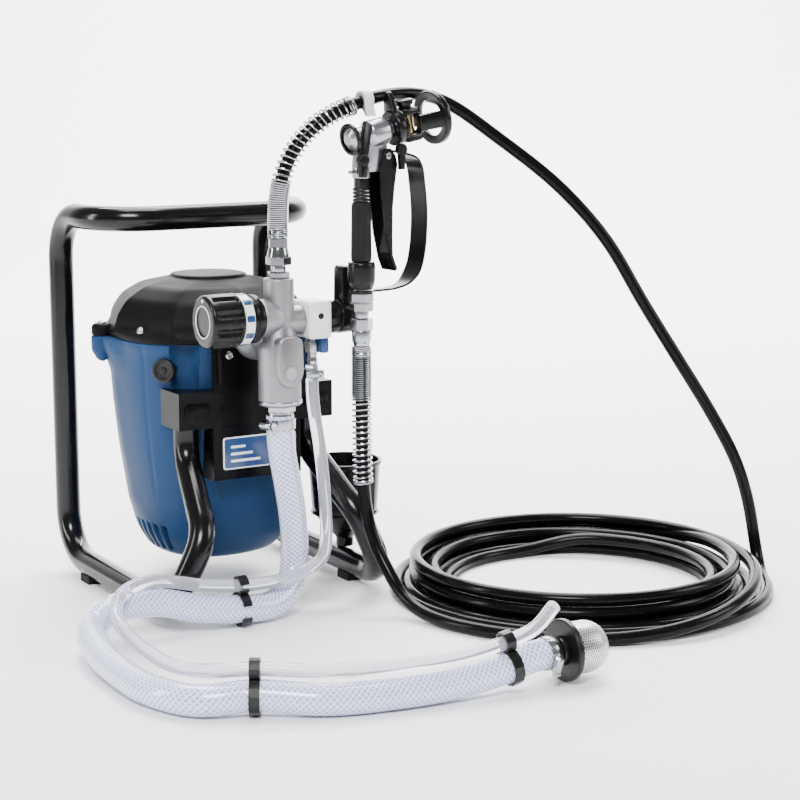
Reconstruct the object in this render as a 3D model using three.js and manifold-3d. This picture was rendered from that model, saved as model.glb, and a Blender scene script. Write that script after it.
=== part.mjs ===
// Airless paint sprayer on a tubular stand: electric piston pump, spray gun, high-pressure hose,
// suction hose with strainer and return tube. Millimetres, +Z up, front of the machine towards -Y.
// Every sub-part is one closed solid in its own named mesh.
import * as THREE from 'three';
import { mergeVertices } from 'three/addons/utils/BufferGeometryUtils.js';
import Module from 'manifold-3d';

const wasm = await Module();
wasm.setup();

// ---------------------------------------------------------------- driving dimensions
const gap = 0.3; // clearance between touching pieces
const origin = { x: 18.91, y: -21.97 }; // base centre of everything but the hoses, seen from the stand's centre

const stand = { halfWidth: 117, rear: 124, front: -135, tube: 12.5, bore: 11, floorZ: 17.5, topZ: 375, handleY: 8 };
const leg = { x: 66.5, y: -62, topZ: 205 };
const crossbar = { halfWidth: 84, front: -86, rear: -44, bottom: 178, top: 214, sheet: 3 };
const pumpPlate = { halfWidth: 47, top: 301, holeRadius: 20.5 };
const labelBox = { halfWidth: 48, bottom: 125, sheet: 2, rear: -60 };
const housing = { y: 20, wall: 3.2, rim: 257, roundness: 2.3, lug: 12 };
const brushCap = { angle: 220, z: 232, reach: 105.2, radius: 12 };
const motor = { coreRadius: 27, statorRadius: 46, shaftRadius: 5, coreLow: 108, coreHigh: 192 };
const gears = { module: 2, pinionTeeth: 9, gearTeeth: 36, low: 254, high: 263.5 };
const eccentric = { throw: 5, radius: 11, top: 276, axle: 4 };
const pump = { x: 0, y: -134, low: 204, top: 326, cylinder: 20.5, neck: 14.5, pistonZ: 270, pistonRadius: 6 };
const regulator = { z: 289, knobEnd: -80, knobStart: -47, knobRadius: 25.5 };
const valve = { z: 285, blockStart: 23.3, blockEnd: 48, collarEnd: 61, leverEnd: 79 };
const cup = { x: 121, y: -45, rim: 122, rimRadius: 38.5, wall: 2 };
const pressureHose = 6.25; // radius
const suctionHose = 13.5; // radius
const returnTube = 6.2; // radius
const springWall = { inner: 6.75, tight: 10.8, open: 10.2 };
const coil = { x: 294, y: -216, outer: 187, inner: 124, low: 0.3, high: 30 };
const gunPose = { x: 73.9, y: -163, heading: 6, barrelTilt: 10.9, barrelZ: 458.3 };
const hook = { x: 15, y: 13.6, z: 491.8, radius: 9.4, width: 11, foot: 477 };
const strainer = {
  y: -455, z: 28, start: 92.3, discStart: 103, discEnd: 109, discRadius: 27.5, meshRadius: 23, meshWall: 1.4, end: 146,
};

// ---------------------------------------------------------------- finishes
const finish = (color, roughness, metalness, extra = {}) =>
  new THREE.MeshStandardMaterial({ color, roughness, metalness, ...extra });
const finishes = {
  frame: finish(0x0d0d0e, 0.22, 0.3),
  sheet: finish(0x101011, 0.28, 0.3),
  blue: finish(0x1f4f8c, 0.45, 0),
  black: finish(0x141415, 0.42, 0),
  rubber: finish(0x0b0b0b, 0.7, 0),
  cast: finish(0xb4b6ba, 0.5, 0.85),
  zinc: finish(0xc9ccd0, 0.25, 1),
  steel: finish(0x8d9094, 0.35, 1),
  brass: finish(0xc79a4a, 0.3, 1),
  copper: finish(0x9c5a30, 0.4, 0.9),
  grip: finish(0x17171a, 0.75, 0),
  hose: finish(0x0a0a0b, 0.3, 0),
  braid: finish(0xdfe3f4, 0.35, 0, { transparent: true, opacity: 0.8 }),
  clear: finish(0xe6e6ee, 0.15, 0, { transparent: true, opacity: 0.45 }),
};

// ---------------------------------------------------------------- solids
// A closed geometry becomes a solid: vertices merged, empty triangles dropped, faces turned outwards.
function solid(geometry) {
  const bare = geometry.index ? geometry.toNonIndexed() : geometry.clone();
  for (const name of Object.keys(bare.attributes)) {
    if (name !== 'position') bare.deleteAttribute(name);
  }
  const merged = mergeVertices(bare, 1e-4);
  const at = merged.attributes.position;
  const corner = [new THREE.Vector3(), new THREE.Vector3(), new THREE.Vector3()];
  const triangles = [];
  let volume = 0;
  for (let i = 0; i < merged.index.count; i += 3) {
    const ids = [0, 1, 2].map((k) => merged.index.getX(i + k));
    if (new Set(ids).size < 3) continue;
    triangles.push(ids);
    ids.forEach((id, k) => corner[k].fromBufferAttribute(at, id));
    volume += corner[0].dot(corner[1].clone().cross(corner[2]));
  }
  if (volume < 0) triangles.forEach((ids) => ids.reverse());
  const mesh = new wasm.Mesh({
    numProp: 3,
    vertProperties: new Float32Array(at.array),
    triVerts: new Uint32Array(triangles.flat()),
  });
  return new wasm.Manifold(mesh);
}

function geometryOf(body) {
  const { vertProperties, triVerts } = body.getMesh();
  const geometry = new THREE.BufferGeometry();
  geometry.setAttribute('position', new THREE.BufferAttribute(new Float32Array(vertProperties), 3));
  geometry.setIndex(new THREE.BufferAttribute(new Uint32Array(triVerts), 1));
  geometry.computeVertexNormals();
  return geometry;
}

const join = (...bodies) => bodies.reduce((all, next) => all.add(next));
const cut = (body, ...tools) => tools.reduce((rest, tool) => rest.subtract(tool), body);

// Turns a geometry whose axis is +Y so that its axis runs along the named direction.
function aim(geometry, axis) {
  if (axis === 'z') geometry.rotateX(Math.PI / 2);
  if (axis === 'x') geometry.rotateZ(-Math.PI / 2);
  return geometry;
}

// A turned solid: profile points are [radius, distance along the axis].
function turned(profile, axis, [x, y, z], segments = 14) {
  const points = profile.map(([radius, along]) => new THREE.Vector2(Math.max(radius, 0), along));
  const closes = profile[0][0] > 0;
  if (closes) points.push(points[0].clone());
  return solid(aim(new THREE.LatheGeometry(points, segments), axis).translate(x, y, z));
}

const rod = (radius, from, to, axis, at, segments = 14) =>
  turned([[0, from], [radius, from], [radius, to], [0, to]], axis, at, segments);

const ring = (inner, outer, from, to, axis, at, segments = 18) =>
  turned([[inner, from], [outer, from], [outer, to], [inner, to]], axis, at, segments);

const hex = (flats, from, to, axis, at) => rod(flats / Math.sqrt(3), from, to, axis, at, 6);

function block([x0, y0, z0], [x1, y1, z1]) {
  const box = new THREE.BoxGeometry(x1 - x0, y1 - y0, z1 - z0);
  return solid(box.translate((x0 + x1) / 2, (y0 + y1) / 2, (z0 + z1) / 2));
}

// An outline of [across, up] points in the XZ plane, from y0 to y1.
function slab(outline, y0, y1) {
  const shape = new THREE.Shape(outline.map(([x, z]) => new THREE.Vector2(x, z)));
  const plate = new THREE.ExtrudeGeometry(shape, { depth: y1 - y0, bevelEnabled: false });
  return solid(plate.rotateX(Math.PI / 2).translate(0, y1, 0));
}

// Points of an arc of the given radius about a centre, angles in degrees.
function arc([cx, cz], radius, from, to, steps) {
  return Array.from({ length: steps + 1 }, (_, i) => {
    const angle = THREE.MathUtils.degToRad(from + ((to - from) * i) / steps);
    return [cx + radius * Math.cos(angle), cz + radius * Math.sin(angle)];
  });
}

// ---------------------------------------------------------------- paths
// A curve that visits its stations one step at a time, so a sweep puts one section at each.
class StationPath extends THREE.Curve {
  constructor(stations) {
    super();
    this.stations = stations;
  }
  getUtoTmapping(u) {
    return u;
  }
  getPoint(t, target = new THREE.Vector3()) {
    const place = t * (this.stations.length - 1);
    const index = Math.min(Math.floor(place + 1e-9), this.stations.length - 2);
    return target.lerpVectors(this.stations[index], this.stations[index + 1], place - index);
  }
  getTangent(t, target = new THREE.Vector3()) {
    const last = this.stations.length - 1;
    const index = Math.round(t * last);
    const before = this.stations[Math.max(index - 1, 0)];
    const after = this.stations[Math.min(index + 1, last)];
    return target.subVectors(after, before).normalize();
  }
}

// Straight runs joined by round bends: corners are { at: [x, y, z], bend: radius, steps }.
function bentTube(corners) {
  const points = corners.map(({ at }) => new THREE.Vector3(...at));
  const stations = [points[0]];
  for (let i = 1; i < points.length - 1; i += 1) {
    const back = points[i - 1].clone().sub(points[i]).normalize();
    const ahead = points[i + 1].clone().sub(points[i]).normalize();
    const half = back.angleTo(ahead) / 2;
    const { bend, steps } = corners[i];
    const middle = back.clone().add(ahead).normalize().multiplyScalar(bend / Math.sin(half)).add(points[i]);
    const start = points[i].clone().addScaledVector(back, bend / Math.tan(half)).sub(middle);
    const normal = back.clone().cross(start).normalize();
    for (let k = 0; k <= steps; k += 1) {
      const turn = ((Math.PI - 2 * half) * k) / steps;
      stations.push(start.clone().applyAxisAngle(normal, turn).add(middle));
    }
  }
  stations.push(points.at(-1));
  return stations;
}

// A smooth curve through hand-placed points, sampled at even steps.
const smooth = (points, steps) =>
  new THREE.CatmullRomCurve3(points.map((p) => new THREE.Vector3(...p)), false, 'centripetal')
    .getSpacedPoints(steps);

function circle(radius, sides) {
  return Array.from({ length: sides }, (_, i) => {
    const angle = (2 * Math.PI * (i + 0.5)) / sides;
    return new THREE.Vector2(radius * Math.cos(angle), radius * Math.sin(angle));
  });
}

function swept(stations, radius, sides, bore = 0, boreSides = 8) {
  const shape = new THREE.Shape(circle(radius, sides));
  if (bore > 0) shape.holes.push(new THREE.Path(circle(bore, boreSides).reverse()));
  const extrudePath = new StationPath(stations);
  return solid(new THREE.ExtrudeGeometry(shape, { steps: stations.length - 1, extrudePath }));
}

// ---------------------------------------------------------------- stand
// One side of the stand: leg out of the crossbar, forward and down, along the floor, up the
// rear, over and forward to the middle of the handle.
function standSide(side) {
  const { halfWidth, rear, front, floorZ, topZ, handleY } = stand;
  return [
    { at: [side * leg.x, leg.y, leg.topZ] },
    { at: [side * leg.x, leg.y, 147], bend: 38, steps: 4 },
    { at: [side * 84, -139, 86], bend: 40, steps: 4 },
    { at: [side * halfWidth, front, floorZ], bend: 42, steps: 6 },
    { at: [side * halfWidth, rear, floorZ], bend: 50, steps: 5 },
    { at: [side * halfWidth, rear, topZ], bend: 47, steps: 5 },
    { at: [side * halfWidth, handleY, topZ], bend: 57, steps: 6 },
    { at: [side * gap / 2, handleY, topZ] },
  ];
}

const frameTube = (side) => swept(bentTube(standSide(side)), stand.tube, 10, stand.bore, 4);

function foot(side, y) {
  const { halfWidth, tube, floorZ } = stand;
  const x = side * halfWidth;
  const pad = block([x - 9.5, y - 11, 0], [x + 9.5, y + 11, floorZ - tube + 3]);
  const saddle = rod(tube + gap, y - 20, y + 20, 'y', [x, 0, floorZ], 16);
  return cut(pad, saddle);
}

// ---------------------------------------------------------------- housing
// A lathe whose round section is pushed out towards a rounded square.
function squared(profile, segments = 32) {
  const points = profile.map(([radius, z]) => new THREE.Vector2(radius, z));
  const geometry = aim(new THREE.LatheGeometry(points, segments), 'z');
  const at = geometry.attributes.position;
  for (let i = 0; i < at.count; i += 1) {
    const radius = Math.hypot(at.getX(i), at.getY(i));
    if (radius < 1e-6) continue;
    const power = housing.roundness;
    const cos = Math.abs(at.getX(i)) / radius;
    const sin = Math.abs(at.getY(i)) / radius;
    const push = (cos ** power + sin ** power) ** (-1 / power);
    at.setXY(i, at.getX(i) * push, at.getY(i) * push);
  }
  return solid(geometry.translate(0, housing.y, 0));
}

const bucketWall = [[43, 30.5], [63, 37], [74.5, 56], [83, 86], [91, 140], [96, 190], [99, 240], [101, 250], [101, 257]];
const domeWall = [[102.5, 257.4], [103, 266], [100, 279], [90, 294], [70, 306], [38, 313.5]];

// The outer surface moved by an amount, closed to the axis at both ends.
const bucketBody = (grow, lift = 0) =>
  squared([[0, 30 - grow + lift], ...bucketWall.map(([r, z]) => [r + grow, z + lift]), [0, housing.rim + lift]]);

const standCuts = (radius) =>
  [-1, 1].map((side) => swept(bentTube(standSide(side)).slice(0, 11), radius, 10));

// A point at a distance from the housing's axis, in a direction given in degrees from +X.
function around(angle, distance) {
  const turn = THREE.MathUtils.degToRad(angle);
  return [distance * Math.cos(turn), housing.y + distance * Math.sin(turn)];
}

const lugAngles = [165, 15];

function lug(angle, low, high, radius) {
  const [x, y] = around(angle, 109);
  return rod(radius, low, high, 'z', [x, y, 0], 10);
}

function radialBox(angle, near, far, width, low, high) {
  const box = new THREE.BoxGeometry(far - near, width, high - low);
  box.translate((near + far) / 2, 0, (low + high) / 2);
  box.rotateZ(THREE.MathUtils.degToRad(angle));
  return solid(box.translate(0, housing.y, 0));
}

function radialRod(angle, near, far, radius, z, segments) {
  const bar = aim(new THREE.CylinderGeometry(radius, radius, far - near, segments), 'x');
  bar.translate((near + far) / 2, 0, z);
  bar.rotateZ(THREE.MathUtils.degToRad(angle));
  return solid(bar.translate(0, housing.y, 0));
}

function motorHousing() {
  const outside = cut(join(bucketBody(0), ...lugAngles.map((a) => lug(a, 236, housing.rim, 11))), ...standCuts(14));
  const inside = cut(bucketBody(-housing.wall, 0.6), ...standCuts(14 + housing.wall));
  const mouth = bucketBody(-housing.wall, 8);
  const upper = block([-130, -110, 200], [130, 150, 300]);
  let shell = cut(outside, inside, cut(mouth.intersect(upper), ...standCuts(14 + housing.wall)));
  for (const centre of [180, 0]) {
    for (let i = 0; i < 6; i += 1) {
      const angle = centre === 180 ? 162 + 9 * i : 18 - 9 * i;
      shell = cut(shell, radialBox(angle, 55, 100, 5.5, 42, 68));
    }
  }
  for (const angle of [brushCap.angle, brushCap.angle - 180]) {
    shell = cut(shell, radialRod(angle, 80, 120, 9.7, brushCap.z, 12));
  }
  const nose = rod(20.2, -90, -60, 'y', [pump.x, 0, pump.pistonZ], 24);
  shell = cut(shell, nose, radialBox(90, 80, 120, 22.6, 200.7, 229.3));
  return cut(shell, radialRod(60, 60, 120, 8.3, 80, 12));
}

function topCover() {
  const outside = squared([[0, 257.4], ...domeWall, [0, 317]]);
  const inner = domeWall.map(([r, z]) => [r - housing.wall, z - (z > 300 ? 2.6 : 1.2)]);
  const inside = squared([[0, 250], [98, 250], ...inner, [0, 314]]);
  const nose = rod(20.5, -90, -60, 'y', [pump.x, 0, pump.pistonZ], 16);
  const lugs = lugAngles.map((a) => lug(a, housing.rim + 0.4, 268, 10));
  return cut(join(outside, ...lugs), inside, nose);
}

function brushCapPiece(angle) {
  const { reach, radius, z } = brushCap;
  const head = radialRod(angle, reach, reach + 5, radius, z, 12);
  const stub = radialRod(angle, reach - 16, reach + 0.5, 8.6, z, 12);
  const hollow = radialRod(angle, reach + 3, reach + 8, radius - 4, z, 12);
  return cut(join(head, stub), hollow);
}

const powerRocker = () => {
  const body = block([-11, 117.4, 201.8], [11, 124, 228.2]);
  const dish = rod(60, -12, 12, 'x', [0, 182.4, 215], 30);
  return cut(body, dish);
};

function cableGland() {
  const nut = radialRod(60, 90.3, 104, 11, 80, 8);
  const body = radialRod(60, 76, 92, 8, 80, 12);
  const tail = radialRod(60, 103, 112, 7, 80, 12);
  const hole = radialRod(60, 70, 120, 4, 80, 10);
  return cut(join(nut, body, tail), hole);
}

// ---------------------------------------------------------------- bracket
function frontBracket() {
  const { halfWidth, front, rear, bottom, top, sheet } = crossbar;
  const channel = block([-halfWidth, front, bottom], [halfWidth, rear, top]);
  const hollow = block([-halfWidth + sheet, front + sheet, bottom + sheet], [halfWidth - sheet, rear + 1, top - sheet]);
  const w = pumpPlate.halfWidth;
  const outline = [[-w, top - 2], [w, top - 2], [w, pumpPlate.top - 12], [w - 12, pumpPlate.top],
    [12 - w, pumpPlate.top], [-w, pumpPlate.top - 12]];
  const plate = slab(outline, front, front + sheet);
  const legHoles = [-1, 1].map((side) => rod(stand.tube + 0.5, bottom - 1, bottom + sheet + 1, 'z', [side * leg.x, leg.y, 0]));
  const pumpHole = rod(pumpPlate.holeRadius, front - 1, front + sheet + 1, 'y', [pump.x, 0, pump.pistonZ], 16);
  return cut(join(cut(channel, hollow), plate), ...legHoles, pumpHole, bucketBody(1.4), domeSpace(1.4));
}

const domeSpace = (grow) => squared([[0, 256], [101 + grow, 256], ...domeWall.map(([r, z]) => [r + grow, z + grow]), [0, 320]]);

function labelPanel() {
  const { halfWidth, bottom, sheet, rear } = labelBox;
  const high = crossbar.bottom - gap;
  const body = block([-halfWidth, crossbar.front, bottom], [halfWidth, rear, high]);
  const hollow = block([-halfWidth + sheet, crossbar.front + sheet, bottom - 1], [halfWidth - sheet, rear + 1, high + 1]);
  return cut(body, hollow, bucketBody(1.2));
}

// ---------------------------------------------------------------- motor and drive
const axis = [0, housing.y, 0];
const pitch = (teeth) => (gears.module * teeth) / 2;
const gearCentre = [0, housing.y - pitch(gears.pinionTeeth) - pitch(gears.gearTeeth), 0];

// Spur teeth with thin flanks, so that a meshed pair keeps clearance all the way round.
function spur(teeth, turn, [cx, cy], low, high) {
  const tip = pitch(teeth) + 0.85 * gears.module;
  const root = pitch(teeth) - 1.15 * gears.module;
  const step = (2 * Math.PI) / teeth;
  const outline = [];
  for (let i = 0; i < teeth; i += 1) {
    const middle = i * step + turn;
    const flank = [[root, -0.29], [tip, -0.11], [tip, 0.11], [root, 0.29]];
    flank.forEach(([r, f]) => outline.push(new THREE.Vector2(
      r * Math.cos(middle + f * step),
      r * Math.sin(middle + f * step),
    )));
  }
  const wheel = new THREE.ExtrudeGeometry(new THREE.Shape(outline), { depth: high - low, bevelEnabled: false });
  return solid(wheel.translate(cx, cy, low));
}

const motorStator = () => ring(motor.coreRadius + 1.3, motor.statorRadius, motor.coreLow - 3, motor.coreHigh + 3, 'z', axis, 18);

function rotorPiece() {
  const { shaftRadius: r, coreRadius, coreLow, coreHigh } = motor;
  const shaft = turned([[0, 50], [r, 50], [r, coreLow], [coreRadius, coreLow], [coreRadius, coreHigh], [r, coreHigh],
    [r, 218], [15, 218], [15, 243], [r, 243], [r, gears.low], [0, gears.low]], 'z', axis, 16);
  const pinion = spur(gears.pinionTeeth, -Math.PI / 2 + Math.PI / gears.pinionTeeth, [0, housing.y], gears.low - 0.5, gears.high);
  return join(shaft, pinion);
}

function coolingFan() {
  const blades = [];
  for (let i = 0; i < 8; i += 1) blades.push(radialBox(45 * i + 10, 16, 54, 2, 71.5, 86));
  return cut(join(rod(16, 66, 86, 'z', axis), rod(54, 70, 72, 'z', axis, 16), ...blades), rod(motor.shaftRadius + gap, 60, 90, 'z', axis));
}

function gearboxPlate() {
  const plate = rod(84, 246, 250, 'z', axis, 22);
  const axle = rod(eccentric.axle, 249, 280, 'z', gearCentre, 10);
  return join(cut(plate, rod(9, 240, 255, 'z', axis)), axle);
}

function driveGear() {
  const [, cy] = gearCentre;
  const wheel = spur(gears.gearTeeth, Math.PI / 2, [0, cy], gears.low, gears.high);
  const cam = rod(eccentric.radius, gears.high - 1, eccentric.top, 'z', [eccentric.throw, cy, 0], 16);
  return cut(join(wheel, cam), rod(eccentric.axle + 0.3, 240, 290, 'z', gearCentre, 10));
}

// The yoke's window clears the eccentric at every mix of gear angle and piston travel.
function driveYoke() {
  const [, cy] = gearCentre;
  const reach = eccentric.radius + eccentric.throw + 0.6;
  const outer = block([-reach - 6, cy - reach - 11, 266], [reach + 6, cy + reach + 11, 274]);
  return cut(outer, block([-reach, cy - reach - 5, 260], [reach, cy + reach + 5, 280]));
}

const pistonRod = () => rod(pump.pistonRadius, -127, -53, 'y', [pump.x, 0, pump.pistonZ], 12);
const pistonPacking = () => ring(pump.pistonRadius + 0.35, 9.7, -87, -74, 'y', [pump.x, 0, pump.pistonZ], 14);
const ball = (radius, z) => solid(new THREE.IcosahedronGeometry(radius, 2).translate(pump.x, pump.y, z));

// ---------------------------------------------------------------- pump
const pumpAxis = [pump.x, pump.y, 0];

function pumpManifold() {
  const { cylinder, neck, low, top, pistonZ } = pump;
  const body = turned([[0, low], [cylinder, low], [cylinder, 262], [neck, 279], [neck, top], [0, top]], 'z', pumpAxis, 18);
  const nose = rod(19, pump.y, -72, 'y', [pump.x, 0, pistonZ], 16);
  const left = rod(18, -22, 0, 'x', [0, pump.y, regulator.z], 16);
  const right = rod(14, 0, valve.blockStart - gap, 'x', [0, pump.y, valve.z], 16);
  const earOutline = [...arc([0, 236], 14, 180, 360, 10), [14, 276], [-14, 276]];
  const ear = slab(earOutline, pump.y - 25, pump.y);
  const earHole = rod(5.7, pump.y - 26, pump.y - 14, 'y', [0, 0, 237], 12);
  const bores = [
    rod(9.3, low - 1, 234, 'z', pumpAxis),
    rod(5, 233, 297, 'z', pumpAxis),
    rod(8, 296.4, top + 1, 'z', pumpAxis),
    rod(7, pump.y, -88, 'y', [pump.x, 0, pistonZ]),
    rod(10, -88.4, -71, 'y', [pump.x, 0, pistonZ]),
    rod(7, -23, 0, 'x', [0, pump.y, regulator.z]),
    rod(5, 0, valve.blockStart, 'x', [0, pump.y, valve.z]),
  ];
  return cut(join(body, nose, left, right, ear), earHole, ...bores);
}

function inletFitting() {
  const body = turned([[0, 184], [12.6, 184], [13.4, 187], [12.6, 190], [13.4, 193], [12.8, 196], [12.8, 198], [9, 198],
    [9, 216], [0, 216]], 'z', pumpAxis, 16);
  return cut(join(body, hex(26.5, 197.5, pump.low - gap, 'z', pumpAxis)), rod(4, 180, 220, 'z', pumpAxis, 12));
}

const regulatorAxis = [0, pump.y, regulator.z];

function regulatorCollar() {
  const body = turned([[0, -46.7], [24, -46.7], [24, -36.5], [21.5, -36.3], [21.5, -32], [23, -31.5], [23, -26], [19, -25.6],
    [19, -22 - gap], [0, -22 - gap]], 'x', regulatorAxis, 22);
  return cut(body, rod(6.5, -50, -30, 'x', regulatorAxis));
}

function pressureKnob() {
  const { knobEnd, knobStart, knobRadius } = regulator;
  let knob = turned([[0, knobEnd], [knobRadius - 3, knobEnd], [knobRadius - 1.5, knobEnd + 1.5], [knobRadius, knobEnd + 8],
    [knobRadius, knobStart], [6, knobStart], [6, -36], [0, -36]], 'x', regulatorAxis, 27);
  for (let i = 0; i < 9; i += 1) {
    const turn = (2 * Math.PI * i) / 9;
    const at = [0, pump.y + 28 * Math.cos(turn), regulator.z + 28 * Math.sin(turn)];
    knob = cut(knob, rod(4.2, knobEnd + 9, knobStart - 5, 'x', at, 10));
  }
  return knob;
}

function valveBlock() {
  const outline = [[valve.blockStart, 267], [valve.blockEnd - 3, 267], [valve.blockEnd, 270], [valve.blockEnd, 300],
    [valve.blockEnd - 3, 303], [valve.blockStart, 303]];
  const body = slab(outline, pump.y - 17, pump.y + 17);
  const drain = rod(7.3, 240, 275, 'z', [35, pump.y, 0], 10);
  const bore = rod(5, 20, 40, 'x', [0, pump.y, valve.z], 10);
  return cut(body, drain, bore);
}

const valveAxis = [0, pump.y, valve.z];
const valveCollar = () => ring(5, 16, valve.blockEnd + gap, valve.collarEnd, 'x', valveAxis, 18);

function primeLever() {
  const hub = turned([[0, valve.collarEnd + gap], [16.2, valve.collarEnd + gap], [16.2, valve.leverEnd - 2],
    [14.5, valve.leverEnd], [0, valve.leverEnd]], 'x', valveAxis, 18);
  const stem = rod(4.4, valve.blockEnd + 4, valve.collarEnd + 1, 'x', valveAxis, 10);
  const arm = new THREE.Shape([[64, 285], [78, 285], [77, 331], [74.5, 334], [66.5, 334], [64.5, 331]].map((p) => new THREE.Vector2(...p)));
  const paddle = new THREE.ExtrudeGeometry(arm, { depth: 18, bevelEnabled: false }).rotateX(Math.PI / 2);
  return join(hub, stem, solid(paddle.translate(0, pump.y + 9, 0)));
}

function returnBarb() {
  const at = [35, pump.y, 0];
  const body = turned([[0, 240], [5.2, 240], [5.8, 244], [5, 248], [5.8, 252], [7.6, 252.5], [7.6, 262], [6.2, 262.5],
    [6.2, 274.5], [0, 274.5]], 'z', at, 12);
  return cut(body, rod(2.5, 230, 280, 'z', at, 10));
}

function outletNipple() {
  const body = turned([[0, 313], [7.7, 313], [7.7, 327], [7.2, 327], [7.2, 338], [0, 338]], 'z', pumpAxis, 14);
  return cut(join(body, hex(19.5, pump.top + gap, 332, 'z', pumpAxis)), rod(3.5, 310, 340, 'z', pumpAxis, 10));
}

function hoseNut() {
  const taper = turned([[0, 346], [11, 346], [9, 355.5], [0, 355.5]], 'z', pumpAxis, 14);
  const body = join(hex(21.5, 338 + gap, 347, 'z', pumpAxis), taper, hex(17, 355, 364, 'z', pumpAxis));
  return cut(body, rod(3.5, 330, 370, 'z', pumpAxis, 10));
}

// ---------------------------------------------------------------- high-pressure hose
// The arch rises from the pump, swings back behind the gun's nozzle and comes down outside the coil.
const archRoute = [
  [0, -134, 364.6], [0, -134, 392], [3, -135, 418], [15, -138, 446], [40, -143, 472], [81, -149, 490],
  [141, -130, 497.5], [194, -121, 489], [244, -144, 452], [294, -177, 405], [335, -202, 352], [369, -221, 288],
  [402, -239, 229], [435, -253, 173], [459, -265, 124], [474, -270, 78], [480, -275, 38], [477, -288, 14],
  [470, -302, 7.4], [459, -321, 6.8],
];
const archStations = smooth(archRoute, 40);
const springEnd = 6; // the arch's station where the spring guard ends
const tailRoute = [
  [73.9, -163, 258.4], [73.9, -163, 200], [74, -162.5, 150], [74.5, -161, 118], [76, -161, 98], [80, -166, 73],
  [86, -179, 50], [92, -199, 30], [97, -228, 12.5], [103, -264, 7], [118, -306, 6.8], [137, -335, 6.8],
];
const tailStations = smooth(tailRoute, 22);

function pumpSpringGuard() {
  const start = new THREE.Vector3(pump.x, pump.y, 364 + gap);
  const stations = [start, ...archStations.slice(1, springEnd + 1)];
  return swept(stations, springWall.open, 10, springWall.inner, 8);
}

const hoseCoil = () => turned([[coil.inner, coil.low + 5], [coil.inner + 6, coil.low], [coil.outer - 6, coil.low], [coil.outer, coil.low + 6],
  [coil.outer, coil.high - 12], [coil.outer - 12, coil.high], [coil.inner + 12, coil.high], [coil.inner, coil.high - 12]],
  'z', [coil.x, coil.y, 0], 36);

// ---------------------------------------------------------------- suction hose and return tube
const suctionRoute = [
  [0, -134, 183], [0.2, -134, 172], [2, -134, 155], [7, -134, 128], [12, -135, 92], [12, -138, 58], [2, -147, 30], [-22, -158, 16],
  [-58, -162, 17], [-97, -158, 22], [-145, -154, 34], [-186, -153, 33], [-214, -172, 24], [-226, -222, 16],
  [-230, -280, 14.5], [-226, -332, 14], [-205, -375, 14], [-163, -396, 17], [-112, -428, 14], [-52, -444, 14],
  [5, -451, 16], [50, -454.5, 22.6], [72, -455, 27.4], [82, -455, 28], [strainer.start - 4 * gap, strainer.y, strainer.z],
];
const returnRoute = [
  [35, -134, 239.7], [36, -134, 205], [43, -135, 155], [47, -137, 105], [44, -144, 72], [30, -160, 54],
  [-6, -168, 43], [-34, -165, 39.9], [-58, -162, 39.9], [-97, -158, 44.7], [-145, -156, 54.7], [-178, -163, 50.7],
  [-196, -186, 38.7], [-199, -222, 28.7], [-201, -276, 25.7], [-199, -326, 27.7], [-190, -374, 36.5], [-163, -396, 39.9],
  [-112, -426, 37.8], [-52, -440, 36.3], [5, -450, 38.3], [48, -454.5, 45.2], [76, -453, 51.7], [103, -443, 64.7],
];

// A double clip at a place on the suction hose: a short figure of eight round the hose and the tube above it.
function tubeClip([x, y, z], heading, pitchAngle = 0) {
  const wall = 1.8;
  const lift = 22.9;
  const low = [suctionHose + 1.3 + wall, suctionHose + 1.3];
  const high = [returnTube + 1.5 + wall, returnTube + 1.5];
  const along = (radius, up, length) => aim(new THREE.CylinderGeometry(radius, radius, length, 14), 'x').translate(0, 0, up);
  const outer = join(solid(along(low[0], 0, 9)), solid(along(high[0], lift, 9)));
  const body = cut(outer, solid(along(low[1], 0, 14)), solid(along(high[1], lift, 14)));
  const lowMouth = block([-10, suctionHose - 1, -6], [10, suctionHose + 6, 6]);
  const highMouth = block([-10, returnTube - 1, lift - 2.5], [10, returnTube + 6, lift + 2.5]);
  const open = cut(body, lowMouth, highMouth);
  return open.rotate([0, -pitchAngle, heading]).translate([x, y, z]);
}

function strainerCap() {
  const { y, z, start, discStart, discEnd, discRadius } = strainer;
  const body = turned([[0, start], [12.6, start], [13.4, start + 3], [12.6, start + 6], [13.2, start + 8], [13.2, discStart],
    [discRadius - 1, discStart], [discRadius, discStart + 1], [discRadius, discEnd - 1], [discRadius - 1, discEnd], [0, discEnd]],
    'x', [0, y, z], 22);
  return cut(body, rod(9.5, start - 1, discEnd + 1, 'x', [0, y, z]));
}

function strainerMesh() {
  const { y, z, discEnd, meshRadius: r, meshWall: wall, end } = strainer;
  const low = discEnd + gap;
  const outside = [[r, low], [r, end - 16], [r - 3, end - 8], [r - 9, end - 2], [0, end]];
  const inside = [[0, end - 1.5], [r - 9.8, end - 3.4], [r - 4.3, end - 8.8], [r - wall, end - 16.4], [r - wall, low]];
  return turned([...outside, ...inside], 'x', [0, y, z], 16);
}

// ---------------------------------------------------------------- parking cup
function parkingCup() {
  const { rim, rimRadius: r, wall, x, y } = cup;
  const outer = [[0, 30.4], [9, 30.4], [9, 40], [33, 66], [34, 73], [r - 1.5, rim - 4], [r, rim - 4], [r, rim]];
  const inner = [[r - wall - 1, rim], [34 - wall, 73], [33 - wall, 68], [6.8, 43], [0, 43]];
  return turned([...outer, ...inner], 'z', [x, y, 0], 22);
}

// ---------------------------------------------------------------- gun
// Gun frame: x towards the nozzle, z up the handle, origin on the handle's axis at floor height.
const handle = [0, 0, 0];
const barrelTurn = THREE.MathUtils.degToRad(-gunPose.barrelTilt);

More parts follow.
